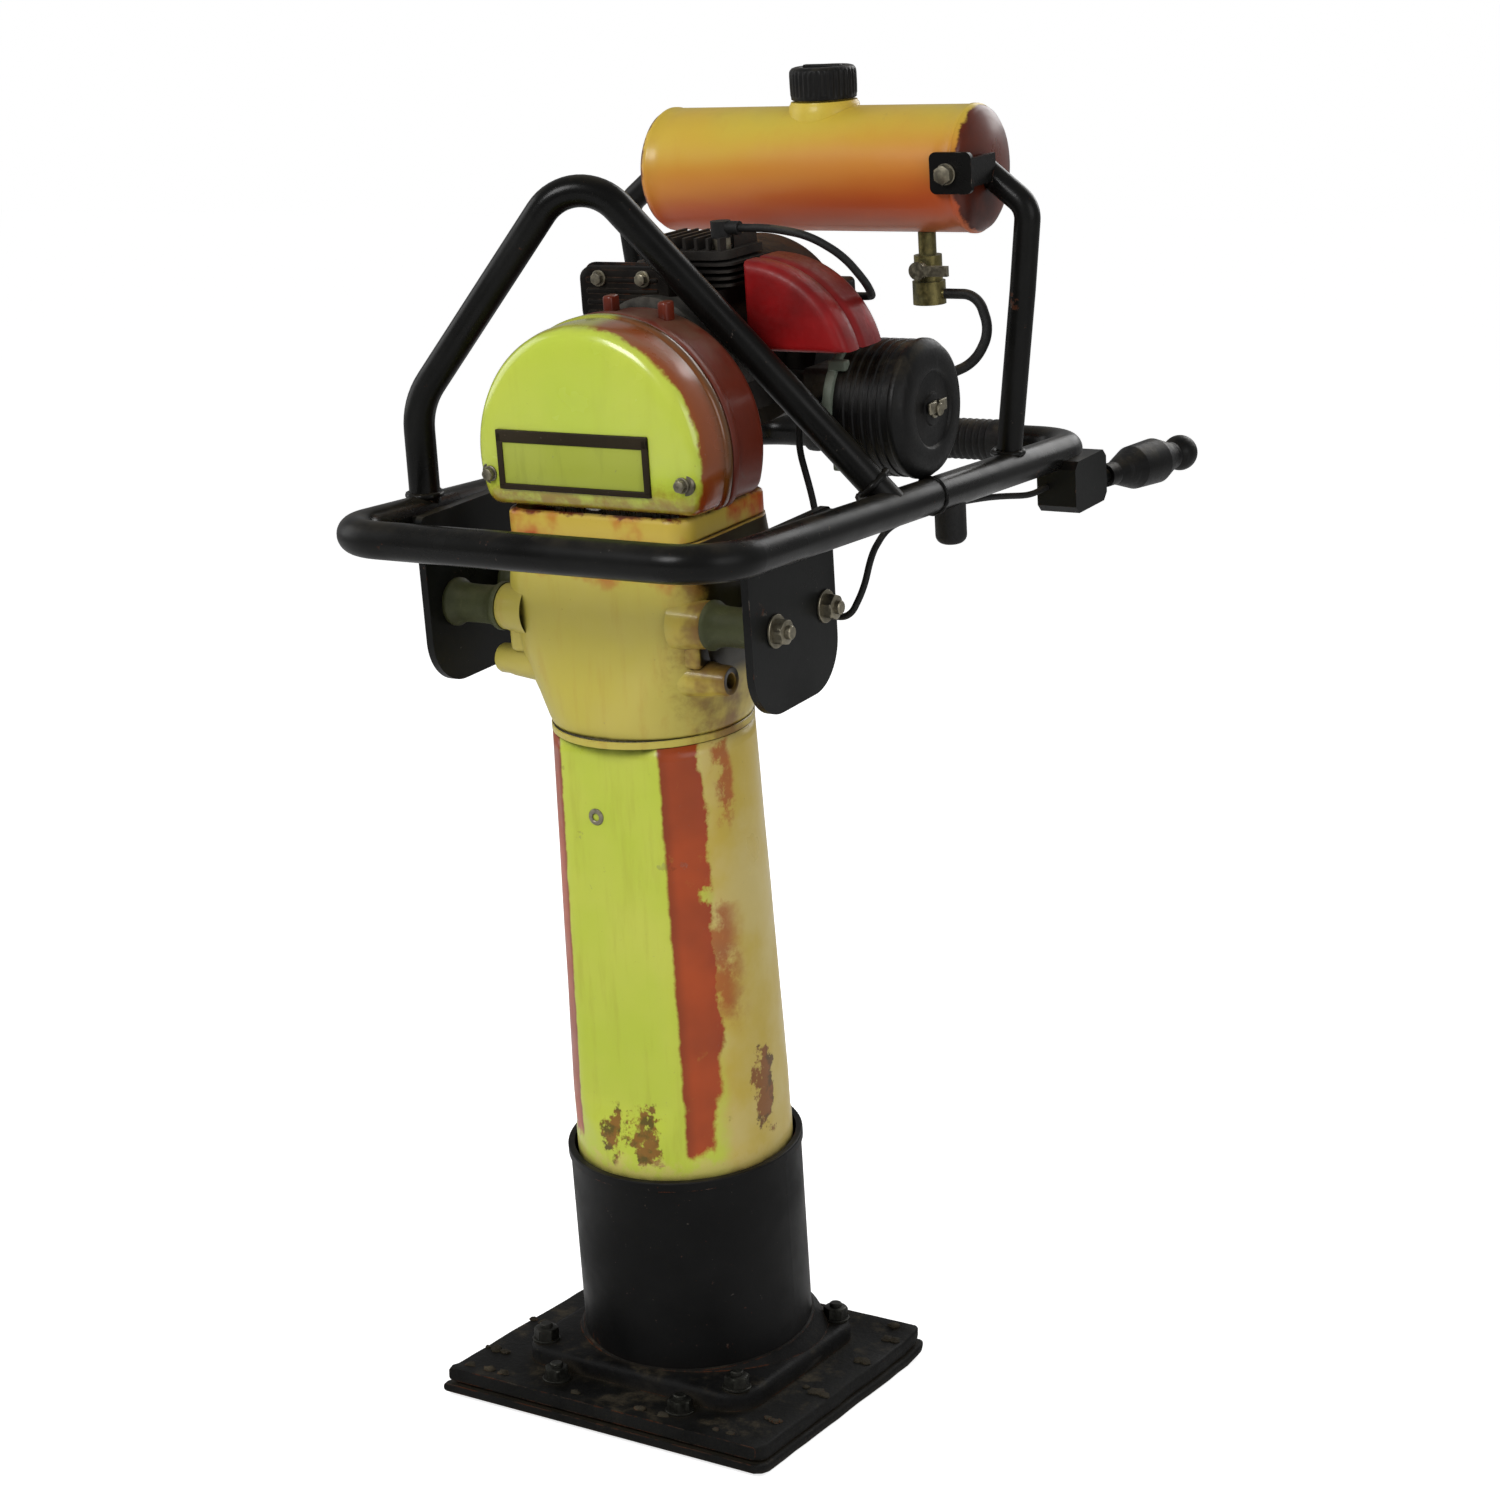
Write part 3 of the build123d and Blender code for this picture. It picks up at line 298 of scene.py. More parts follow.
def neck_zones(n, tone, fine):
    """Reddish painted shade under the crank housing and on the top of the ears, darker painted shade on the right
    flank, and near-black flanks behind the mounts that are painted shadow with oil.
    """
    x, _, z = n.place()
    # painted shade: reddish under the crank housing
    housing_shade = n.range(n.math("ADD", z, n.range(n.noise(26, 4), 0.3, 0.7, -22, 22)), 622, 652)
    tone = n.mix(n.times(housing_shade, 0.8), tone, ORANGE_RED)
    # painted shade: the right flank darkens to gold and deep red
    side = n.range(n.math("ADD", x, n.range(fine, 0.3, 0.7, -8, 8)), 52, 78, 0.0, 0.7)
    tone = n.mix(side, tone, n.mix(n.range(n.noise(22, 4), 0.42, 0.6), GOLD, DEEP_RED))
    # painted shadow with some oil: sideways faces from just below the mounts upward turn near-black
    sideways = n.math("ABSOLUTE", n.normal_parts()[0])
    shadow_and_oil = n.range(n.math("ADD", sideways, n.range(fine, 0.3, 0.7, -0.05, 0.05)), 0.8, 0.93, 0.0, 0.94)
    shadow_and_oil = both(n, shadow_and_oil, n.range(z, 538, 556))
    return n.mix(shadow_and_oil, tone, linear(9, 8, 7))


def tank_zones(n, tone, fine):
    """Painted warm light and shade over the yellow: yellow on top and to the left, orange round the middle, red-brown
    below, and brown ends that are painted shade.
    """
    x, _, z = n.place()
    wavy = n.math("ADD", z, n.range(n.noise(11, 3, 0.5, n.stretch(0.35, 1, 1)), 0.3, 0.7, -6, 6))
    wavy = n.math("SUBTRACT", wavy, n.times(x, 0.06))
    # painted warm light and shade: orange, red-brown and pink-orange bands towards the bottom
    tone = n.mix(n.range(wavy, 862, 906), linear(206, 132, 48), tone)
    tone = n.mix(n.range(wavy, 838, 868, 1.0, 0.0), tone, linear(190, 84, 42))
    tone = n.mix(n.range(wavy, 819, 834, 0.7, 0.0), tone, linear(196, 112, 70))
    # painted shade: the ends turn dark brown
    ends = n.range(n.math("ADD", n.math("ABSOLUTE", x), n.range(fine, 0.3, 0.7, -1.5, 1.5)), 137.5, 140)
    return n.mix(ends, tone, n.mix(n.range(n.noise(16, 4), 0.4, 0.66), linear(96, 32, 6), linear(60, 16, 3)))


def dark_paint(name, tint=(14, 14, 13), rough=0.3, wear=0.45, dust=0.3, edge=0.0012):
    """Black enamel over steel, rubbed and dusty."""
    return paint(name, linear(*tint), linear(*(c + 16 for c in tint)), linear(6, 6, 6), chip=RUST, wear=wear,
                 rough=rough, dust=dust, coat=0.0, edge=edge, streaks=0.3, specular=0.16)


def cast(name, tint, rough=0.6, dust=0.6, coarse=0.5, metal=0.1):
    """Sand-cast surface under worn black, with soil dust."""
    n = Nodes(name)
    grain = n.noise(190, 5, 0.65)
    large = n.noise(22, 5, 0.65)
    tone = n.mix(n.range(large, 0.35, 0.68), linear(*tint), linear(*(c + 16 for c in tint)))
    up = n.range(n.normal_parts()[2], 0.2, 0.95, 0.15, 1.0)
    soil = both(n, up, n.range(n.noise(30, 6, 0.72), 0.5, 0.72, 0.0, dust))
    soil = n.math("MAXIMUM", soil, n.times(n.crevices(0.012), dust * 0.55))
    tone = n.mix(soil, tone, linear(94, 84, 66))
    rub = both(n, n.edges(0.0016), n.range(n.noise(60, 5, 0.7), 0.44, 0.56))
    tone = n.mix(n.times(rub, 0.75), tone, n.mix(n.range(large, 0.4, 0.6), linear(84, 78, 70), RUST))
    rough_all = n.math("ADD", n.range(large, 0.3, 0.7, rough - 0.12, rough + 0.08), n.times(soil, 0.3), clamp=True)
    height = n.math("ADD", n.times(grain, coarse), n.times(large, 0.6))
    return n.finish(tone, rough_all, n.math("ADD", n.times(rub, 0.6), metal, clamp=True), height, 0.7, 0.0011,
                    Specular_IOR_Level=0.12)


def metal(name, tint, rough=0.3, grime_and_shade=0.5, brushed=(1, 1, 1), amount=0.9, bump=0.3, stain_and_shade=SHADE_AND_SOOT):
    """Bare metal with tool marks, oil film and stains, and painted shade darkening the crevices."""
    n = Nodes(name)
    lines = n.noise(260, 3, 0.6, n.stretch(*brushed))
    blotch = n.range(n.noise(28, 5, 0.66), 0.42, 0.7)
    tone = n.mix(n.range(lines, 0.3, 0.7), linear(*tint), linear(*(min(255, int(c * 1.22)) for c in tint)))
    # blotchy stains, plus painted shade in the crevices
    dirt_and_shade = n.math("MAXIMUM", n.times(blotch, grime_and_shade), n.times(n.crevices(0.01), grime_and_shade))
    tone = n.mix(dirt_and_shade, tone, stain_and_shade)
    rough_all = n.math("ADD", n.range(lines, 0.3, 0.7, rough - 0.06, rough + 0.1), n.times(dirt_and_shade, 0.3), clamp=True)
    return n.finish(tone, rough_all, n.range(dirt_and_shade, 0, 1, amount, amount * 0.35), lines, bump, 0.0003)


def polymer(name, tint, rough=0.45, grain=520, dust=0.35, bump=0.25, specular=0.18, sheen=0.0):
    """Moulded rubber or plastic: fine grain, scuffed edges, dust on top."""
    n = Nodes(name)
    fine = n.noise(grain, 4, 0.6)
    scuffs = n.range(n.noise(1, 5, 0.7, n.stretch(60, 160, 30)), 0.58, 0.7)
    pale = linear(*(min(255, int(c * 1.3) + 7) for c in tint))
    tone = n.mix(n.range(n.noise(18, 4), 0.34, 0.68), linear(*tint), pale)
    tone = n.mix(n.times(scuffs, 0.3), tone, linear(*(min(255, int(c * 1.5) + 30) for c in tint)))
    up = n.range(n.normal_parts()[2], 0.2, 0.95, 0.05, 1.0)
    settled = both(n, up, n.range(n.noise(40, 5, 0.65), 0.4, 0.72, 0.0, dust))
    tone = n.mix(settled, tone, DUST)
    rub = both(n, n.edges(0.0009), n.range(n.noise(70, 4, 0.7), 0.42, 0.58, 0.0, 0.5))
    tone = n.mix(rub, tone, linear(*(min(255, int(c * 1.4) + 46) for c in tint)))
    rough_all = n.math("ADD", n.range(fine, 0.3, 0.7, rough - 0.05, rough + 0.08), n.times(settled, 0.25), clamp=True)
    return n.finish(tone, rough_all, 0.0, n.math("SUBTRACT", fine, n.times(scuffs, 0.4)), bump, 0.0004,
                    Specular_IOR_Level=specular, Sheen_Weight=sheen)


M = {
    "leg": paint("leg_paint", LIME, LIME_FADED, LIME_DEEP, wear=0.3, zones=leg_zones, rough=0.34),
    "cover": paint("cover_paint", linear(190, 208, 66), linear(204, 212, 84), linear(166, 170, 48), wear=0.2,
                   zones=cover_zones, rough=0.2, coat=0.7, streaks=0.2),
    # the crank housing's side is dark orange-red, painted warm reflection and shade
    "case": paint("case_paint", linear(104, 36, 18), linear(126, 52, 28), linear(60, 18, 8), wear=0.25,
                  zones=case_zones, rough=0.38, coat=0.15),
    "neck": paint("neck_paint", linear(192, 178, 72), linear(198, 182, 96), linear(176, 130, 52), wear=0.35,
                  zones=neck_zones, rough=0.36),
    "tank": paint("tank_paint", linear(210, 186, 66), linear(212, 168, 60), linear(196, 130, 48), wear=0.1,
                  zones=tank_zones, rough=0.34, coat=0.15, dust=0.1, streaks=0.2),
    "tube": dark_paint("frame_enamel", (9, 9, 8), 0.3, 0.3, 0.1),
    "plate": dark_paint("plate_enamel", (10, 11, 10), 0.34, 0.35, 0.15),
    "sleeve": dark_paint("sleeve_enamel", (5, 5, 5), 0.46, 0.3, 0.1),
    "muffler": cast("muffler_skin", (15, 12, 10), 0.55, 0.25, 0.3, 0.3),
    "shoe": cast("shoe_casting", (7, 7, 6), 0.62, 0.4, 0.8),
    "boss": cast("boss_casting", (7, 7, 7), 0.6, 0.42, 0.7),
    "steel": metal("machined_steel", (150, 148, 142), 0.26, 0.3, (3, 3, 0.2)),
    "bolt": metal("zinc_bolts", (126, 120, 104), 0.36, 0.6),
    "dark_bolt": metal("blackened_bolts", (46, 46, 42), 0.4, 0.6),
    "alloy": metal("cast_alloy", (92, 90, 84), 0.5, 0.75, (0.4, 0.4, 0.4), 0.75, 0.8),
    "sooty": metal("sooty_alloy", (52, 48, 44), 0.55, 0.85, (0.4, 0.4, 0.4), 0.6, 0.8),
    "brass": metal("old_brass", (112, 104, 66), 0.38, 0.85, stain_and_shade=linear(22, 34, 24)),
    "spring": metal("spring_steel", (66, 68, 72), 0.3, 0.3),
    "rubber": polymer("black_rubber", (12, 12, 12), 0.62, 620, 0.3, 0.35, 0.35),
    # the olive tint of the dark mount rubber is a painted greenish highlight
    "mount": polymer("mount_rubber", (54, 57, 30), 0.55, 620, 0.2, 0.3, 0.35),
    "plastic": polymer("black_moulding", (11, 11, 11), 0.42, 380, 0.25),
    "pale": polymer("pale_moulding", (104, 112, 100), 0.48, 380, 0.3),
    "red": polymer("red_moulding", (104, 5, 7), 0.42, 300, 0.1, 0.2, 0.3),
    "soil": cast("dry_soil", (40, 36, 28), 0.85, 0.7, 1.0, 0.0),
    "field": paint("plate_field", linear(166, 176, 62), linear(176, 184, 80), linear(120, 120, 50), wear=0.5, rough=0.4,
                   coat=0.1),
    "border": dark_paint("plate_border", (38, 30, 16), 0.45, 0.5, 0.1, 0.0006),
}


# ---------------------------------------------------------------- mesh helpers
def made(name, bm, body, material, place=LEG, replaces=(), smooth=38, mods=()):
    """Turn a bmesh in millimetres into a piece in its place, riding on a CAD body."""
    bmesh.ops.remove_doubles(bm, verts=bm.verts, dist=1e-4)
    bmesh.ops.recalc_face_normals(bm, faces=bm.faces)
    mesh = bpy.data.meshes.new(name)
    bm.to_mesh(mesh)
    bm.free()
    mesh.transform(place)
    mesh.shade_smooth()
    mesh.set_sharp_from_angle(angle=radians(smooth))
    obj = bpy.data.objects.new(name, mesh)
    bpy.context.scene.collection.objects.link(obj)
    mesh.materials.append(M[material])
    for kind, values in mods:
        modifier = obj.modifiers.new(kind.lower(), kind)
        for key, value in values.items():
            setattr(modifier, key, value)
    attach(obj, body)
    if replaces:
        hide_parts(*replaces)
    return obj


def shell(thickness):
    """Wall grown inwards from a skin, in metres."""
    return [("SOLIDIFY", {"thickness": thickness, "offset": -1.0})]


def axis_matrix(axis, x=0, y=0, z=0):
    """Local Z laid along the named leg-frame axis, from the given point."""
    turn = {"z": Matrix.Identity(4), "y": Matrix.Rotation(-pi / 2, 4, "X"), "x": Matrix.Rotation(pi / 2, 4, "Y"),
            "-y": Matrix.Rotation(pi / 2, 4, "X"), "-x": Matrix.Rotation(-pi / 2, 4, "Y")}[axis]
    return Matrix.Translation((x, y, z)) @ turn


def lathe(bm, profile, where=Matrix.Identity(4), segments=72, shape=None):
    """Surface of revolution about local Z from (radius, height) points; radius 0 closes an end."""
    rings = []
    for r, h in profile:
        if r < 1e-6:
            rings.append([bm.verts.new(where @ Vector((0, 0, h)))])
            continue
        ring = []
        for i in range(segments):
            a = 2 * pi * i / segments
            rr = r + (shape(a, h, r) if shape else 0)
            ring.append(bm.verts.new(where @ Vector((rr * cos(a), rr * sin(a), h))))
        rings.append(ring)
    for low, high in zip(rings, rings[1:]):
        for i in range(segments):
            j = (i + 1) % segments
            if len(low) == 1 and len(high) == 1:
                continue
            if len(low) == 1:
                bm.faces.new((low[0], high[j], high[i]))
            elif len(high) == 1:
                bm.faces.new((low[i], low[j], high[0]))
            else:
                bm.faces.new((low[i], low[j], high[j], high[i]))
    return rings


def loft(bm, rings, cap_start=True, cap_end=True):
    """Skin between rings of equally many points."""
    loops = [[bm.verts.new(p) for p in ring] for ring in rings]
    for low, high in zip(loops, loops[1:]):
        for i in range(len(low)):
            j = (i + 1) % len(low)
            bm.faces.new((low[i], low[j], high[j], high[i]))
    if cap_start:
        bm.faces.new(list(reversed(loops[0])))
    if cap_end:
        bm.faces.new(loops[-1])
    return loops


def rounded_rect(w, d, r, steps=8):
    """Corner-rounded rectangle as (x, y) points."""
    points = []
    for cx, cy, start in ((1, 1, 0), (-1, 1, 90), (-1, -1, 180), (1, -1, 270)):
        for i in range(steps + 1):
            a = radians(start + 90 * i / steps)
            points.append((cx * (w / 2 - r) + r * cos(a), cy * (d / 2 - r) + r * sin(a)))
    return points


def soft_box(bm, lo, hi, r=2.0, steps=3, where=Matrix.Identity(4)):
    """Box with rounded edges."""
    before = set(bm.verts)
    out = bmesh.ops.create_cube(bm, size=1)
    size, mid = Vector(hi) - Vector(lo), (Vector(hi) + Vector(lo)) / 2
    for v in out["verts"]:
        v.co = Vector(c * s for c, s in zip(v.co, size)) + mid
    edges = {e for v in out["verts"] for e in v.link_edges}
    bmesh.ops.bevel(bm, geom=list(edges), offset=r, segments=steps, profile=0.5, affect="EDGES")
    for v in bm.verts:
        if v not in before:
            v.co = where @ v.co


def hexagon(bm, where, across, height, washer=0.0, stud=0.0, stud_r=0.0):
    """Hexagon head or nut with turned corners, on a washer, standing on local Z = 0."""
    base = 0
    if washer:
        lathe(bm, [(0, 0), (washer - 0.5, 0), (washer, 0.5), (washer, 1.6), (washer - 0.5, 2), (0, 2)], where, 32)
        base = 2
    corner = across / sqrt(3)
    steps = 36

    def hex_r(a):
        return across / 2 / cos((a + pi / 6) % (pi / 3) - pi / 6)

    rings = []
    for h, limit in ((0, corner * 1.001), (height * 0.82, corner * 1.001), (height * 0.94, across / 2 * 1.04),
                     (height, across / 2 * 0.9)):
        rings.append([where @ Vector((min(hex_r(a), limit) * cos(a), min(hex_r(a), limit) * sin(a), base + h))
                      for a in (2 * pi * i / steps for i in range(steps))])
    loft(bm, rings)
    if stud:
        r = stud_r
        top = base + height
        lathe(bm, [(r, top - 1), (r, top + stud - 0.8), (r - 0.8, top + stud), (0, top + stud)], where, 24)


def torus(bm, where, major, minor, segments=64, sides=10, wobble=0.0, seed=0, shape=None):
    """Ring about local Z; wobble makes it a hand-run weld bead."""
    loops = []
    for i in range(segments):
        a = 2 * pi * i / segments
        m = minor * (1 + wobble * noise.noise(Vector((cos(a) * 9, sin(a) * 9, seed))))
        big = major + (shape(a) if shape else 0)
        turns = (2 * pi * k / sides for k in range(sides))
        ring = [((big + m * cos(b)) * cos(a), (big + m * cos(b)) * sin(a), m * sin(b)) for b in turns]
        loops.append([bm.verts.new(where @ Vector(p)) for p in ring])
    for i in range(segments):
        low, high = loops[i], loops[(i + 1) % segments]
        for k in range(sides):
            j = (k + 1) % sides
            bm.faces.new((low[k], high[k], high[j], low[j]))


def aim(start, end):
    """Matrix with local Z from start towards end, at start."""
    direction = Vector(end) - Vector(start)
    return Matrix.Translation(start) @ direction.to_track_quat("Z", "Y").to_matrix().to_4x4()


def dress(material, *names, bevel=0.0, slot=None):
    """Material, and a small edge rounding where asked, on CAD nodes that stay."""
    for name in names:
        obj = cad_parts[name]
        obj.data.materials.clear()
        obj.data.materials.append(M[material])
        if bevel:
            weld = obj.modifiers.new("weld", "WELD")
            weld.merge_threshold = 1e-5
            soft = obj.modifiers.new("bevel", "BEVEL")
            soft.width, soft.segments, soft.limit_method = bevel, 2, "ANGLE"
            soft.angle_limit = radians(35)
            soft.harden_normals = True


# ---------------------------------------------------------------- foot
def rough_plate(name, x, y0, y1, z0, thick, toe, heel, material, replaces, lumps):
    """Shoe layer: a plate with turned-up ends, rounded edges and a hammered outline."""
    bm = bmesh.new()
    stations = [y0, y0 + 7, y0 + 15, y0 + 22] + [y0 + 22 + (y1 - 12 - y0 - 22) * i / 14 for i in range(1, 15)]
    stations += [y1 - 6, y1]
    columns = 22
    r = 2.6
    rings = []
    for y in stations:
        lift = toe * max(0, (y0 + 15 - y) / 15) + heel * max(0, (y - (y1 - 24)) / 24)
        pull = 2.2 if y in (stations[0], stations[-1]) else 0
        outline = []
        for i in range(columns + 1):
            outline.append((-x + r + (2 * x - 2 * r) * i / columns, z0 + lift))
        outline += [(x - r * 0.3, z0 + lift + r * 0.3), (x, z0 + lift + r), (x, z0 + lift + thick - r),
                    (x - r * 0.3, z0 + lift + thick - r * 0.3)]
        for i in range(columns + 1):
            outline.append((x - r - (2 * x - 2 * r) * i / columns, z0 + lift + thick))
        outline += [(-x + r * 0.3, z0 + lift + thick - r * 0.3), (-x, z0 + lift + thick - r), (-x, z0 + lift + r),
                    (-x + r * 0.3, z0 + lift + r * 0.3)]
        middle = z0 + lift + thick / 2
        ring = []
        for px, pz in outline:
            k = 1 - pull / x
            side = abs(px) > x - 6
            dent = lumps * noise.noise(Vector((px * 0.03, y * 0.05, 1.7))) if side else 0
            top = pz > middle
            bump = 0.35 * noise.noise(Vector((px * 0.06, y * 0.06, 5))) if top else 0
            across = px * k - (dent if px > 0 else -dent)
            ring.append(Vector((across, y, middle + (pz - middle) * (0.8 if pull else 1) + bump)))
        rings.append(ring)
    loft(bm, rings)
    return made(name, bm, "foot", material, FLOOR, replaces, 50)


def build_foot():
    rough_plate("sole_plate", 144, -134, 126, 0.0, 8, 3, 5, "shoe", ["shoe_sole"], 0.8)
    rough_plate("shoe_casting", 141, -131, 123, 8.2, 12.6, 3, 5, "shoe", ["shoe_deck"], 1.2)
    bm = bmesh.new()
    outline = rounded_rect(206, 184, 26, 10)

    def ring(scale, z):
        return [Vector((x * (1 - scale / 103), 4 + y * (1 - scale / 92), z)) for x, y in outline]

    loft(bm, [ring(0, 21), ring(0.4, 30), ring(1.4, 33), ring(3.4, 34.7), ring(7, 35), ring(30, 35.3)])
    where = Matrix.Translation(LEG_FOOT) @ Matrix.Rotation(LEAN, 4, "X")
    lathe(bm, [(104, -14), (98, -2), (94.4, 3), (92.2, 6), (91.5, 8), (89.6, 8.6)], where, 96)
    made("foot_socket", bm, "foot", "boss", FLOOR, ["foot_boss"], 42)
    bm = bmesh.new()
    turn = 0.3
    for x in (-87, 87):
        for y in (-72, 80):
            turn += 0.7
            hexagon(bm, Matrix.Translation((x, y, 35.1)) @ Matrix.Rotation(turn, 4, "Z"), 17, 8.8, 11, 3, 5)
    for x in (-56, 56):
        turn += 0.7
        hexagon(bm, Matrix.Translation((x, -103, 20.8)) @ Matrix.Rotation(turn, 4, "Z"), 17, 8.8, 11, 3, 5)
    made("foot_bolt_heads", bm, "foot", "dark_bolt", FLOOR, ["foot_bolts"], 28)
    clods = bmesh.new()
    for i in range(46):
        a = Vector((sin(i * 12.9898), cos(i * 78.233), sin(i * 37.719)))
        x = 128 * sin(i * 2.399)
        y = -4 + 118 * cos(i * 1.713)
        if abs(x) < 108 and abs(y - 4) < 98:
            x = 132 * (1 if x > 0 else -1) - a.x * 6
        lift = max(0, y - 99) / 24 * 5 + max(0, -116 - y) / 15 * 3
        size = 1.4 + 1.8 * abs(a.y)
        out = bmesh.ops.create_icosphere(clods, subdivisions=2, radius=1)
        for v in out["verts"]:
            k = size * (1 + 0.5 * noise.noise(v.co * 1.7 + Vector((i, 0, 0))))
            clod = Vector((v.co.x * k * 1.5, v.co.y * k * 1.2, v.co.z * k * 0.7))
            v.co = Vector((x, y, 20.9 + lift + size * 0.25)) + clod
    made("soil_crumbs", clods, "foot", "soil", FLOOR, smooth=60)


# ---------------------------------------------------------------- leg and neck
def leg_radius(a, t):
    """Outside of the leg at an angle from the front and a height: round, with a flat front."""
    k = max(0.0, (t - 212) / (LEG_TOP - 212))
    round_r = LEG_R_LOW if t < 182 else LEG_R_LOW - 0.7 - (LEG_R_LOW - 0.7 - LEG_R_TOP) * k
    if t < 182:
        return round_r
    grow = min(1.0, (t - 182) / 30)
    half = 9 + (FLAT_HALF - 9) * grow
    flat = sqrt(round_r**2 - half**2)
    c = cos(a)
    if c <= 0.05:
        return round_r
    cut = flat / c
    soft = 1.6
    if abs(round_r - cut) > soft * 3:
        return min(round_r, cut)
    return (round_r + cut) / 2 - sqrt(((round_r - cut) / 2) ** 2 + (soft / 2) ** 2) + soft / 4


def build_leg():
    bm = bmesh.new()
    heights = [LEG_BOTTOM, LEG_BOTTOM + 3] + [100 + 8 * i for i in range(10)] + [178, 182, 187, 192, 198, 204, 212]
    heights += [212 + (LEG_TOP - 212) * i / 26 for i in range(1, 27)]
    count = 180
    rings = []
    for t in heights:
        ring = []
        for i in range(count):
            a = 2 * pi * i / count - pi
            r = leg_radius(a, t) - (1.2 if t == LEG_BOTTOM else 0)
            r += 0.22 * noise.noise(Vector((sin(a) * 2.2, cos(a) * 2.2, t * 0.02)))
            ring.append(Vector((r * sin(a), -r * cos(a), t)))
        rings.append(ring)
    loft(bm, rings, False, False)
    made("leg_tube", bm, "machine", "leg", LEG, ["leg_casting"], 50,
         shell(0.0048))
    bm = bmesh.new()
    rings = []
    for k in range(25):
        t = 198 + (LEG_TOP - 200) * k / 24 if k < 24 else LEG_TOP - 0.5
        r = 79.4 - 8.2 * max(0, (t - 200) / 299)
        size = 1.0 if 0 < k < 24 else 0.55
        ring = []
        for x, y in rounded_rect(8.6 * size, 15.6 * size, 3.4 * size, 5):
            v = Matrix.Rotation(radians(45), 3, "Z") @ Vector((x, y, 0))
            ring.append(Vector((v.x + r * 0.7071, v.y + r * 0.7071, t)))
        rings.append(ring)
    loft(bm, rings)
    made("leg_rib", bm, "machine", "leg", LEG, smooth=50)
    bm = bmesh.new()
    where = axis_matrix("-y", -14, -62.5, 442)
    lathe(bm, [(0, -6), (8.6, -6), (8.6, -0.6), (8.0, 0.4), (6.8, 0.5), (6.5, 0.1), (6.3, 2.0), (5.6, 2.8), (3.4, 2.8),
               (3.0, 2.5), (3.0, -2), (0, -2)], where, 40)
    made("leg_tapping_plug", bm, "machine", "bolt", LEG, ["leg_plug"], 30)


def build_neck():
    bm = bmesh.new()
    key = [(505, 148, 140, 68), (512, 152, 141, 66), (530, 158, 139, 57), (548, 166, 137, 47), (566, 173, 135, 40),
           (592, 176, 133, 34), (612, 173, 131, 30), (632, 166, 129, 27), (644, 162, 128, 26), (650, 160, 127, 25)]
    rings = []
    for a, b in zip(key, key[1:]):
        for s in range(3):
            t, w, d, r = (p + (q - p) * s / 3 for p, q in zip(a, b))
            rings.append((t, w, d, r))
    rings.append(key[-1])
    points = []
    for t, w, d, r in rings:
        ring = []
        for x, y in rounded_rect(w, d, r, 12):
            k = 1 + 0.004 * noise.noise(Vector((x * 0.03, y * 0.03, t * 0.03)))
            ring.append(Vector((x * k, y * k, t)))
        points.append(ring)
    loft(bm, points, False, False)
    made("neck_shell", bm, "machine", "neck", LEG, ["neck_casting"], 55,
         shell(0.005))
    bm = bmesh.new()
    for side in ("x", "-x"):
        s = 1 if side == "x" else -1
        lathe(bm, [(15, 60), (12.4, 84), (11.2, 90), (11, 97), (10, 99), (6.5, 99), (5.6, 98.2), (5.4, 92), (0, 92)],
              axis_matrix(side, 0, -46, 551), 40)
        for y in MOUNT_YS:
            lathe(bm, [(21, 62), (18.6, 78), (17.2, 84), (17, 87.2), (16.2, 88), (0, 88)],
                  axis_matrix(side, 0, y, MOUNT_Z), 48)
        soft_box(bm, (s * 74 - 8, -60, 560), (s * 74 + 8, -38, 596), 5, 4)
    lathe(bm, [(74.6, 499.4), (75.3, 500), (75.3, 504.4), (74.6, 505)], segments=96)
    made("neck_ears", bm, "machine", "neck", LEG, smooth=42)


# ---------------------------------------------------------------- crank housing
def dome_points(radius, bottom, corner, count=120):
    """Round-topped outline (x, z): an arc on a flat foot with rounded corners."""
    base = sqrt(radius**2 - (DOME_Z - bottom) ** 2)
    start = asin((bottom - DOME_Z) / radius)
    points = []
    lead = corner / radius
    for i in range(count + 1):
        a = start + lead + (pi - 2 * start - 2 * lead) * i / count
        points.append((radius * cos(a), DOME_Z + radius * sin(a)))
    for k in range(1, 6):
        s = k / 6
        p0, p1, p2 = points[count], (-base, bottom), (-base + corner, bottom)
        points.append(tuple((1 - s) ** 2 * a + 2 * s * (1 - s) * b + s * s * c for a, b, c in zip(p0, p1, p2)))
    for k in range(25):
        points.append((-base + corner + (2 * base - 2 * corner) * k / 24, bottom))
    for k in range(1, 6):
        s = k / 6
        p0, p1, p2 = (base - corner, bottom), (base, bottom), points[0]
        points.append(tuple((1 - s) ** 2 * a + 2 * s * (1 - s) * b + s * s * c for a, b, c in zip(p0, p1, p2)))
    return points


def dome_ring(inset, y, corner=9):
    """Outline moved inwards; past the rounded edge it shrinks towards the middle of the face."""
    edge = min(inset, 13)
    points = dome_points(DOME_R - edge, DOME_BOTTOM + edge * 0.9, corner - edge * 0.2)
    k = 1 - (inset - edge) / (DOME_R - 13)
    return [Vector((x * k, y, DOME_Z - 6 + (z - DOME_Z + 6) * k)) for x, z in points]


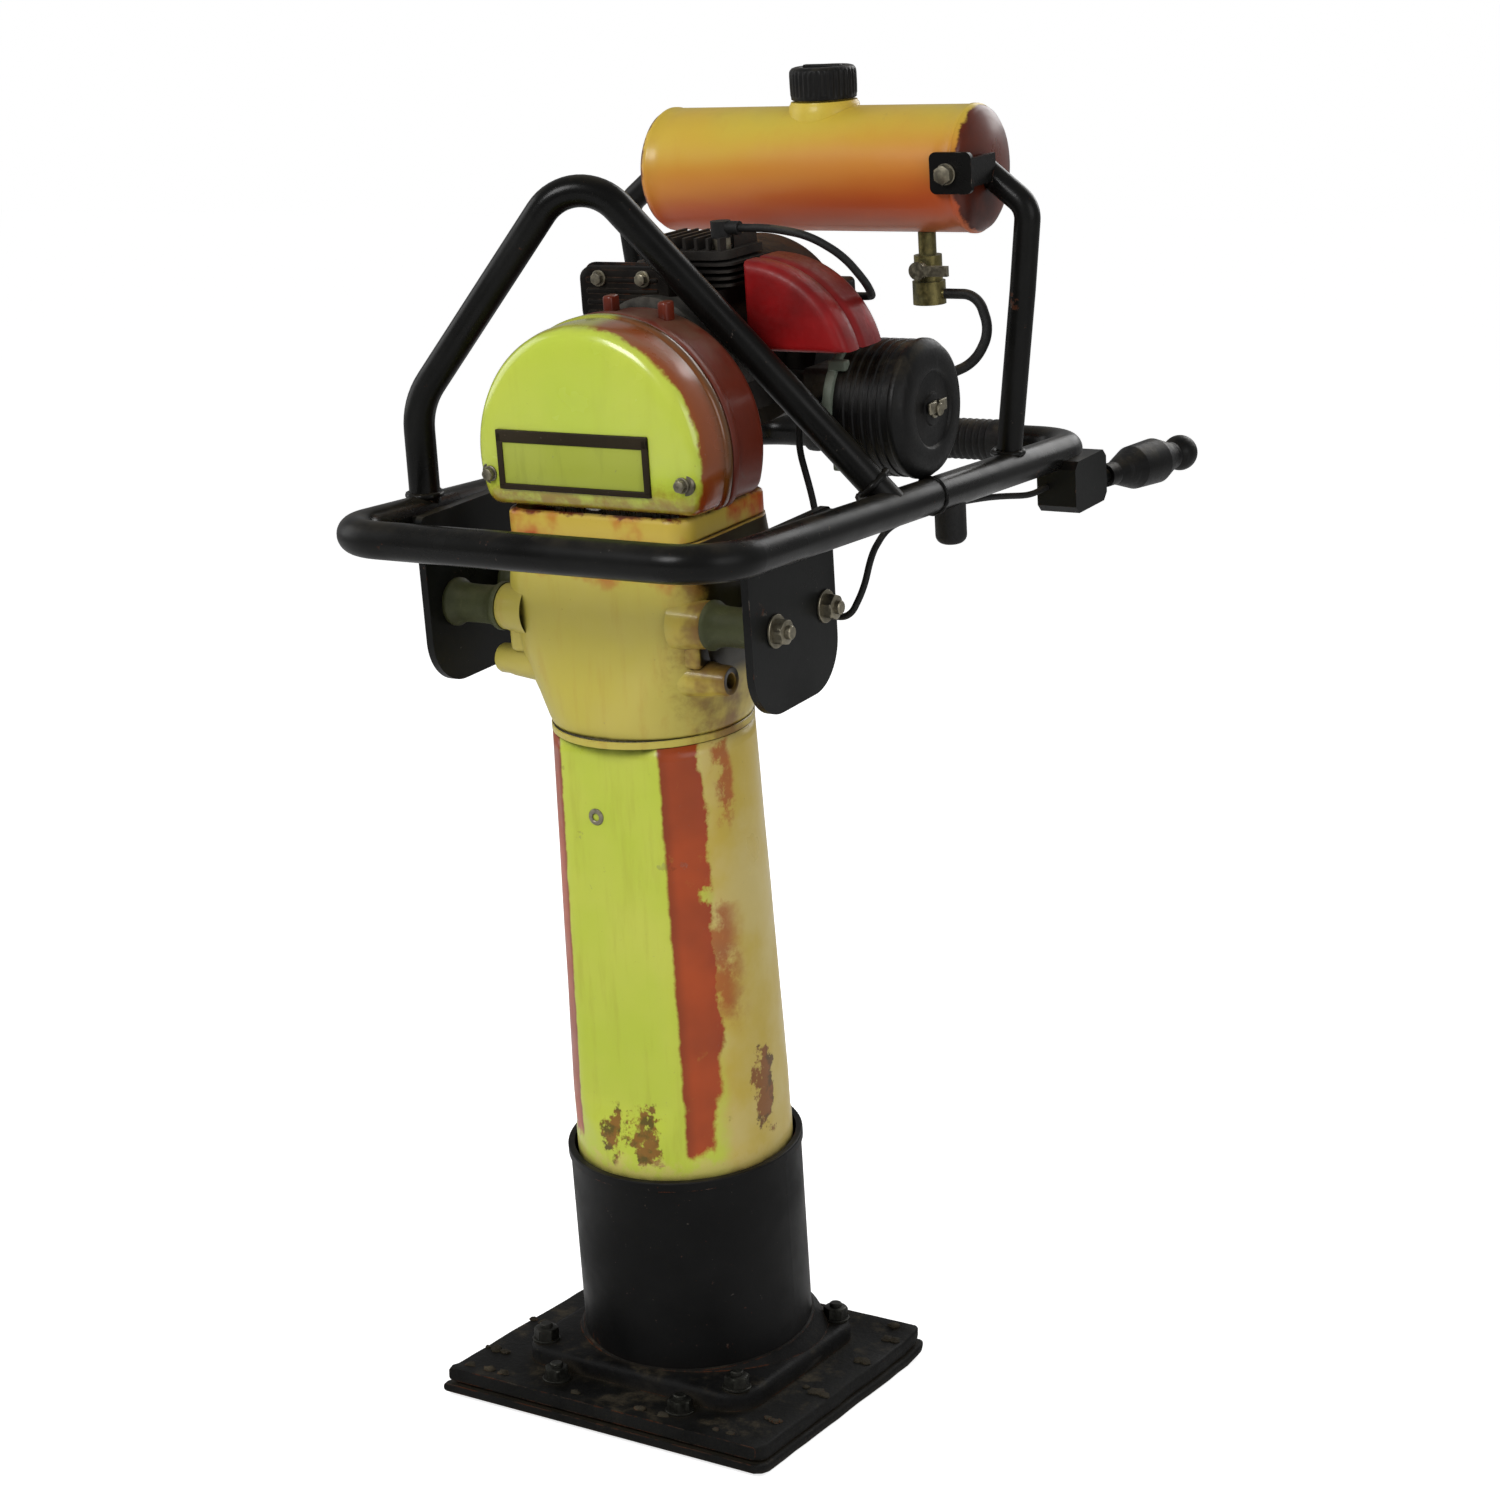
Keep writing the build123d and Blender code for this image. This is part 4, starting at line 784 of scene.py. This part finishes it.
def build_housing():
    bm = bmesh.new()
    levels = [(0.9, -20.4), (0.2, -21.2), (0, -22.5), (0, -27), (0.6, -28.4), (1.6, -29.2), (1.8, -40), (2.2, -50),
              (3.2, -55.5), (5.4, -59.4), (8.6, -62.0), (13, -63.4), (20, -64.1), (32, -64.7), (46, -65.1), (62, -65.3),
              (78, -65.4)]
    rings = [dome_ring(inset, y) for inset, y in levels]
    centre = Vector((0, -65.45, DOME_Z - 6))
    rings.append([centre.lerp(p, 0.35) for p in rings[-1]])
    loft(bm, rings, False, True)
    made("cover_dome", bm, "machine", "cover", LEG, ["crank_cover"], 50,
         shell(0.0045))
    bm = bmesh.new()
    levels = [(0.9, -19.8), (0.2, -19), (0, -18), (0, -12.5), (0.6, -11.2), (2.6, -10.4), (3, -9), (3, 22), (3.6, 26),
              (5.4, 29.2), (8.6, 30.7), (14, 31), (40, 31), (66, 31)]
    rings = [dome_ring(inset, y) for inset, y in levels]
    loft(bm, rings, False, False)
    made("case_dome", bm, "machine", "case", LEG, ["crankcase"], 50,
         shell(0.0045))
    bm = bmesh.new()
    outline = rounded_rect(156, 122, 18, 10)

    def ring(inset, z):
        return [Vector((x * (1 - inset / 78), -1 + y * (1 - inset / 61), z)) for x, y in outline]

    loft(bm, [ring(1.2, 650.2), ring(0.2, 651), ring(0, 652.4), ring(0, 664.5), ring(0.6, 666.6), ring(2, 667.8),
              ring(4, 668.2)], False, False)
    for x in (-16, 30):
        top = DOME_Z + sqrt(DOME_R**2 - x**2)
        soft_box(bm, (x - 4, 4, top - 8), (x + 4, 16, top + 9), 2.2, 3)
    made("case_base", bm, "machine", "case", LEG, smooth=45)

    # blank plate: a raised border round a plain field
    x0, x1, z0, z1 = -72, 56, 684, 727
    bm = bmesh.new()
    soft_box(bm, (x0 + 3, -65.9, z0 + 3), (x1 - 3, -64.0, z1 - 3), 0.5, 2)
    made("plate_field", bm, "machine", "field", LEG, smooth=35)
    bm = bmesh.new()
    for lo, hi in (((x0, z0), (x1, z0 + 4.4)), ((x0, z1 - 9), (x1, z1)), ((x0, z0 + 2), (x0 + 5, z1 - 2)),
                   ((x1 - 5, z0 + 2), (x1, z1 - 2))):
        soft_box(bm, (lo[0], -67.0, lo[1]), (hi[0], -64.2, hi[1]), 0.8, 3)
    made("plate_frame", bm, "machine", "border", LEG, ["name_plate"], 35)
    bm = bmesh.new()
    for angle in (-9, 40, 140, 189):
        x, z = 82 * cos(radians(angle)), DOME_Z + 82 * sin(radians(angle))
        if abs(x) > DOME_R - 20:
            lathe(bm, [(9, -8), (8.6, -1.2), (7.6, 0), (0, 0)], axis_matrix("-y", x, -63.2, z), 32)
            hexagon(bm, axis_matrix("-y", x, -63.4, z) @ Matrix.Rotation(angle, 4, "Z"), 8, 4, 5.6)
        else:
            hexagon(bm, axis_matrix("y", x, 31, z), 8, 4, 5.6)
    made("cover_screws", bm, "machine", "bolt", LEG, ["cover_bolts"], 28)


# ---------------------------------------------------------------- fuel
def build_tank():
    bm = bmesh.new()
    dish, half = TANK_DISH, TANK_HALF
    profile = [(0, -half - dish), (14, -half - dish + 0.5), (28, -half - dish + 2.2), (38, -half - dish + 4.6),
               (43.5, -half - 2.6), (46.2, -half - 0.6), (47.4, -half + 1.4), (48.0, -half + 3), (48.9, -half + 3.8),
               (48.9, -half + 6.4), (48.2, -half + 7.4)]
    profile += [(48.2, -half + 7.4 + (2 * half - 14.8) * i / 22) for i in range(1, 22)]
    profile += [(r, -h) for r, h in reversed(profile[:11])]
    lathe(bm, profile, axis_matrix("x", 0, TANK_Y, TANK_Z), 112,
          lambda a, h, r: (0.32 if 4 < r else 0) * noise.noise(Vector((cos(a) * 1.6, sin(a) * 1.6, h * 0.013)))
          + (0.55 if abs((a - 5.9) % (2 * pi)) < 0.045 and abs(h) < half - 9 else 0))
    made("tank_drum", bm, "machine", "tank", LEG, ["fuel_tank"], 42)
    bm = bmesh.new()
    where = axis_matrix("z", CAP_X, TANK_Y, 0)
    low = CAP_BOTTOM
    lathe(bm, [(29, TANK_Z + 36), (28.4, TANK_Z + 44), (27.4, TANK_Z + 50), (26.6, low - 5), (26, low - 3.4),
               (23, low - 3.1), (22, low - 2.6), (22, low + 13), (19, low + 13), (19, TANK_Z + 40)], where, 72)
    made("filler_neck_ring", bm, "machine", "tank", LEG, smooth=40)
    bm = bmesh.new()

    def knurl(a, h, r):
        return -0.9 * (0.5 + 0.5 * cos(36 * a)) if r > CAP_R - 1 and CAP_BOTTOM + 1 < h < CAP_TOP - 3 else 0

    top = CAP_TOP
    lathe(bm, [(22.3, low - 2), (24.6, low - 2), (25.6, low - 1.4), (25.8, low + 0.8), (26.2, low + 2), (26.4, low + 8),
               (26.4, top - 6), (26.2, top - 3.6), (25.4, top - 2.2), (24.2, top - 0.9), (22, top - 0.2), (19, top),
               (17.8, top - 0.4), (17.2, top - 1.5), (3, top - 1.5), (2.2, top - 2), (0, top - 2)], where, 216, knurl)
    soft_box(bm, (CAP_X - 16.5, TANK_Y - 3, CAP_TOP - 2.2), (CAP_X + 16.5, TANK_Y + 3, CAP_TOP + 1.2), 1.2, 3)
    made("filler_cap", bm, "cap", "plastic", LEG, ["fuel_cap"], 35)


# ---------------------------------------------------------------- engine
def build_engine():
    bm = bmesh.new()
    where = axis_matrix("x", 0, CLEANER_Y, CLEANER_Z)
    can = [(40, 103.6), (49.4, 103.6), (50, 104.6), (50, 108)]
    for k in range(5):
        base = 110 + 7.4 * k
        can += [(50, base), (50.9, base + 0.9), (50.9, base + 3), (50, base + 3.9)]
    can += [(50, 149), (51.4, 149.4), (51.8, 150.4), (51.8, 153.6), (51.2, 154.6), (50.2, 155.4), (48.2, 158.8),
            (44, 161), (38, 161.9), (30, 162), (28.6, 161.4), (27.4, 160), (14, 159.6), (12.6, 160), (11.6, 161.4),
            (10.4, 161.8), (0, 162)]
    lathe(bm, can, where, 96)
    made("cleaner_can", bm, "machine", "plastic", LEG, ["air_cleaner"], 34)
    bm = bmesh.new()
    lathe(bm, [(0, 161.6), (6.5, 161.6), (6.5, 163), (4.8, 163.6), (4.8, 167), (4, 168), (0, 168)], where, 32)
    for s in (-1, 1):
        y = CLEANER_Y + s * 8
        soft_box(bm, (163.4, y - 5.5, 705.8), (166, y + 5.5, 714.6), 1.1, 3)
    made("cleaner_wing_screw", bm, "machine", "bolt", LEG, smooth=30)
    bm = bmesh.new()
    lathe(bm, [(30, 96), (51.4, 96), (52.6, 96.8), (53, 98), (53, 102.2), (52.4, 103.4), (51, 104), (30, 104)],
          where, 96)
    for k in range(4):
        a = radians(45 + 90 * k)
        y, z = CLEANER_Y + CLEANER_CLIP_R * cos(a), CLEANER_Z + CLEANER_CLIP_R * sin(a)
        soft_box(bm, (97, y - 4, z - 4), (112, y + 4, z + 4), 1.6, 3)
    made("cleaner_backplate", bm, "machine", "pale", LEG, ["cleaner_base"], 34)

    # shroud over the cylinder's right side: a bulged quarter-round hood with a parting groove
    bm = bmesh.new()
    rings = []
    stations = [(9, 79.6), (5.4, 79.9), (2.6, 81.2), (0.8, 83.6), (0, 87), (0, 96), (0.2, 101), (1.7, 102.4),
                (1.7, 104.6), (0.2, 106), (0, 112), (0, 126), (0.3, 133), (1.0, 136)]
    for inset, y in stations:
        r = 86 - inset
        points = []
        a0, a1 = asin((761.5 - 740 + inset * 0.6) / r), pi / 2
        top_x = 52 + inset * 0.4
        for i in range(33):
            a = a0 + (a1 - a0) * i / 32
            points.append(Vector((50 + r * cos(a) * (1 + 0.012 * sin(2 * a)), y, 740 + r * sin(a))))
        points = [p for p in points if p.x > top_x]
        while len(points) < 33:
            points.append(Vector((top_x, y, 740 + r)))
        low = 760.5 + inset * 0.6
        ring = points + [Vector((top_x, y, 740 + r - (740 + r - low) * k / 8)) for k in range(1, 9)]
        ring += [Vector((top_x + (points[0].x - top_x) * k / 8, y, low)) for k in range(1, 8)]
        rings.append(ring)
    loft(bm, rings, True, False)
    made("engine_shroud", bm, "machine", "red", LEG, ["cowl"], 48, shell(0.0026))

    # silencer: pressed can with a rolled seam, saddled over the clutch bell
    bm = bmesh.new()
    outline = rounded_rect(80, 42, 9, 6)

    def can_ring(inset, y):
        return [Vector((-26 + x * (1 - inset / 40), y, 805 + z * (1 - inset / 21))) for x, z in outline]

    levels = [(6, 42), (2.2, 42.7), (0.6, 44.6), (0, 48), (0, 53.6), (-1.6, 54.2), (-1.6, 56.6), (0, 57.2), (0, 63),
              (0.6, 66.4), (2.2, 68.3), (6, 69)]
    loft(bm, [can_ring(inset, y) for inset, y in levels])
    for k in range(4):
        soft_box(bm, (-58, 40.9, 791 + 8 * k), (4, 43.4, 794.4 + 8 * k), 1.1, 3)
    lathe(bm, [(7.6, 68), (7.2, 70), (7, 98), (6.6, 99.6), (5.4, 99.8), (5, 98), (5, 72), (0, 72)],
          axis_matrix("y", -55, 0, 806), 36)
    lathe(bm, [(11, 67), (11, 71), (9, 71.6), (9, 78), (0, 78)], axis_matrix("y", -8, 0, 817), 36)
    made("silencer", bm, "machine", "muffler", LEG, ["muffler"], 36)
    bm = bmesh.new()
    hexagon(bm, axis_matrix("-y", -46, 41.5, 818), 8, 4, 6)
    hexagon(bm, axis_matrix("-y", -8, 41.5, 818), 8, 4, 6)
    made("silencer_screws", bm, "machine", "bolt", LEG, smooth=28)


# ---------------------------------------------------------------- handle frame details
FRAME_FRONT, FRAME_LENGTH, FRAME_FRONT_Z, FRAME_BACK_Z = -152, 572, 663, 628


def ring_z(y):
    """Height of the handle frame's tube at a distance from front to back."""
    return FRAME_FRONT_Z + (FRAME_BACK_Z - FRAME_FRONT_Z) * (y - FRAME_FRONT) / FRAME_LENGTH


def build_frame_details():
    bm = bmesh.new()
    slope = Vector((0, FRAME_LENGTH, FRAME_BACK_Z - FRAME_FRONT_Z)).normalized()
    for s in (-1, 1):
        joint = (s * 160, 150, ring_z(150))
        torus(bm, aim(joint, Vector(joint) + slope), 13.5, 1.6, 48, 8, 0.6, s)
        torus(bm, aim((s * 156.6, 288, ring_z(288) + 13), (s * 157.5, 288, ring_z(288) + 40)), 10.6, 2.4, 40, 8, 0.5,
              3 + s, lambda a: 0.8)
    torus(bm, aim((-160, -41.4, 669.5), (-160, -41.4, 690)), 12.2, 2.5, 44, 8, 0.5, 9)
    torus(bm, aim((148, 84.7, 667), (120, 73, 701)), 13.4, 2.5, 44, 8, 0.5, 12)
    made("weld_beads", bm, "machine", "tube", LEG, smooth=60)
    bm = bmesh.new()
    z = ring_z(420)
    profile = [(13.6, -96), (16.2, -96), (17, -95), (17.4, -92), (17.4, -88)]
    step = 6.0
    count = int(172 / step)
    for k in range(count):
        x = -86 + step * k
        profile += [(17.0, x), (15.9, x + 1.0), (15.9, x + 2.2), (17.0, x + 3.2), (17.3, x + 4.4)]
    profile += [(17.4, 88), (17.4, 92), (17, 95), (16.2, 96), (13.6, 96)]
    lathe(bm, profile, axis_matrix("x", 0, 420, z), 56)
    made("grip_rubber", bm, "machine", "rubber", LEG, ["grip_sleeve"], 40)
    bm = bmesh.new()
    turn = 0.2
    for s in (-1, 1):
        for y in MOUNT_YS:
            turn += 0.9
            where = axis_matrix("x" if s > 0 else "-x", s * 140, y, MOUNT_Z) @ Matrix.Rotation(turn, 4, "Z")
            hexagon(bm, where, 17, 8, 12, 4, 5)
    hexagon(bm, axis_matrix("-y", 136, 242.5, 868), 13, 6, 8)
    made("frame_nuts", bm, "machine", "bolt", LEG, ["frame_bolts"], 28)
    bm = bmesh.new()
    for s in ("x", "-x"):
        for y in MOUNT_YS:
            lathe(bm, [(15.5, 88), (17.6, 88.2), (18, 89.4), (18, 91.4), (17.4, 92.4), (15.4, 95), (14.4, 101),
                       (14.2, 111), (14.4, 121), (15.4, 127), (17.4, 129.6), (18, 130.6), (18, 132.6), (17.6, 133.8),
                       (15.5, 134)], axis_matrix(s, 0, y, MOUNT_Z), 56)
    made("buffer_rubbers", bm, "machine", "mount", LEG, ["rubber_mounts"], 40)


# ---------------------------------------------------------------- build
build_foot()
build_leg()
build_neck()
build_housing()
build_tank()
build_engine()
build_frame_details()

dress("sleeve", "foot_sleeve")
dress("steel", "spring_cylinder", "cylinder_head", "guide_cylinder", "crank_gear", "con_rod", "wrist_pin", "plunger",
      "clutch_drum", "clutch_shoes", "engine_shaft", "crank_bearings")
dress("spring", "lower_spring", "upper_spring")
dress("brass", "guide_bushes", "fuel_cock")
dress("alloy", "clutch_housing", "carburettor", "flywheel")
dress("sooty", "engine_block", "engine_barrel", "cylinder_top", "fan_housing")
dress("tube", "handle_front_tube", "handle_rear_tube", "guard_hoop", "tank_stands")
dress("plate", "side_plates", "throttle_block", "throttle_arm")
dress("rubber", "arm_pad", "plug_cap", "plug_lead", "throttle_cable", "fuel_hose")
dress("plastic", "throttle_grip", "starter_grip", "ignition_coil")
dress("bolt", "spark_plug", "cock_lever")


# ---------------------------------------------------------------- floor, light, camera
WORLD_LIGHT, FLOOR_GLOW = 0.3, 0.76
LIGHT_TARGET = Vector((0, 0, 0.55))
# name, place in metres, size in metres, power in watts
LIGHTS = (("key", (-0.5, -3.0, 2.5), 1.2, 62), ("side", (2.9, -0.9, 1.5), 1.6, 20),
          ("left", (-2.8, -0.6, 1.6), 1.8, 18), ("back", (0.4, 2.8, 2.2), 1.8, 34))
CAMERA_PLACE, CAMERA_DOWN, CAMERA_TURN = (1.1111, -1.7583, 0.9248), 11.48, 30.98
CAMERA_LENS, CAMERA_SENSOR = 67.36, 36


def studio():
    """Pale floor and world, four area lights and the camera."""
    mesh = bpy.data.meshes.new("studio_floor")
    mesh.from_pydata([(-60, -60, 0), (60, -60, 0), (60, 60, 0), (-60, 60, 0)], [], [(0, 1, 2, 3)])
    floor = bpy.data.objects.new("studio_floor", mesh)
    bpy.context.scene.collection.objects.link(floor)
    mat = bpy.data.materials.new("pale_floor")
    mat.use_nodes = True
    tree = mat.node_tree
    bsdf = tree.nodes["Principled BSDF"]
    bsdf.inputs["Base Color"].default_value = (0.8, 0.8, 0.8, 1)
    bsdf.inputs["Roughness"].default_value = 0.95
    bsdf.inputs["Specular IOR Level"].default_value = 0.1
    glow = tree.nodes.new("ShaderNodeEmission")
    rays = tree.nodes.new("ShaderNodeLightPath")
    seen = tree.nodes.new("ShaderNodeMath")
    seen.operation = "MULTIPLY"
    seen.inputs[1].default_value = FLOOR_GLOW
    both_shaders = tree.nodes.new("ShaderNodeAddShader")
    tree.links.new(rays.outputs["Is Camera Ray"], seen.inputs[0])
    tree.links.new(seen.outputs[0], glow.inputs["Strength"])
    tree.links.new(bsdf.outputs[0], both_shaders.inputs[0])
    tree.links.new(glow.outputs[0], both_shaders.inputs[1])
    tree.links.new(both_shaders.outputs[0], tree.nodes["Material Output"].inputs["Surface"])
    mesh.materials.append(mat)
    world = bpy.data.worlds.new("studio")
    bpy.context.scene.world = world
    world.use_nodes = True
    tree = world.node_tree
    back = tree.nodes["Background"]
    back.inputs["Color"].default_value = (1, 1, 1, 1)
    rays = tree.nodes.new("ShaderNodeLightPath")
    level = tree.nodes.new("ShaderNodeMapRange")
    level.inputs["To Min"].default_value = WORLD_LIGHT
    level.inputs["To Max"].default_value = 1.0
    tree.links.new(rays.outputs["Is Camera Ray"], level.inputs["Value"])
    tree.links.new(level.outputs[0], back.inputs["Strength"])
    for name, spot, size, power in LIGHTS:
        light = bpy.data.lights.new(name, "AREA")
        light.size, light.energy = size, power
        lamp = bpy.data.objects.new(name, light)
        lamp.location = spot
        lamp.rotation_euler = (LIGHT_TARGET - Vector(spot)).to_track_quat("-Z", "Y").to_euler()
        bpy.context.scene.collection.objects.link(lamp)
    cam = bpy.data.cameras.new("camera")
    cam.lens, cam.sensor_width = CAMERA_LENS, CAMERA_SENSOR
    camera = bpy.data.objects.new("camera", cam)
    camera.location = CAMERA_PLACE
    camera.rotation_euler = (radians(90 - CAMERA_DOWN), 0, radians(CAMERA_TURN))
    bpy.context.scene.collection.objects.link(camera)
    bpy.context.scene.camera = camera
    bpy.context.scene.view_settings.view_transform = "Standard"


studio()
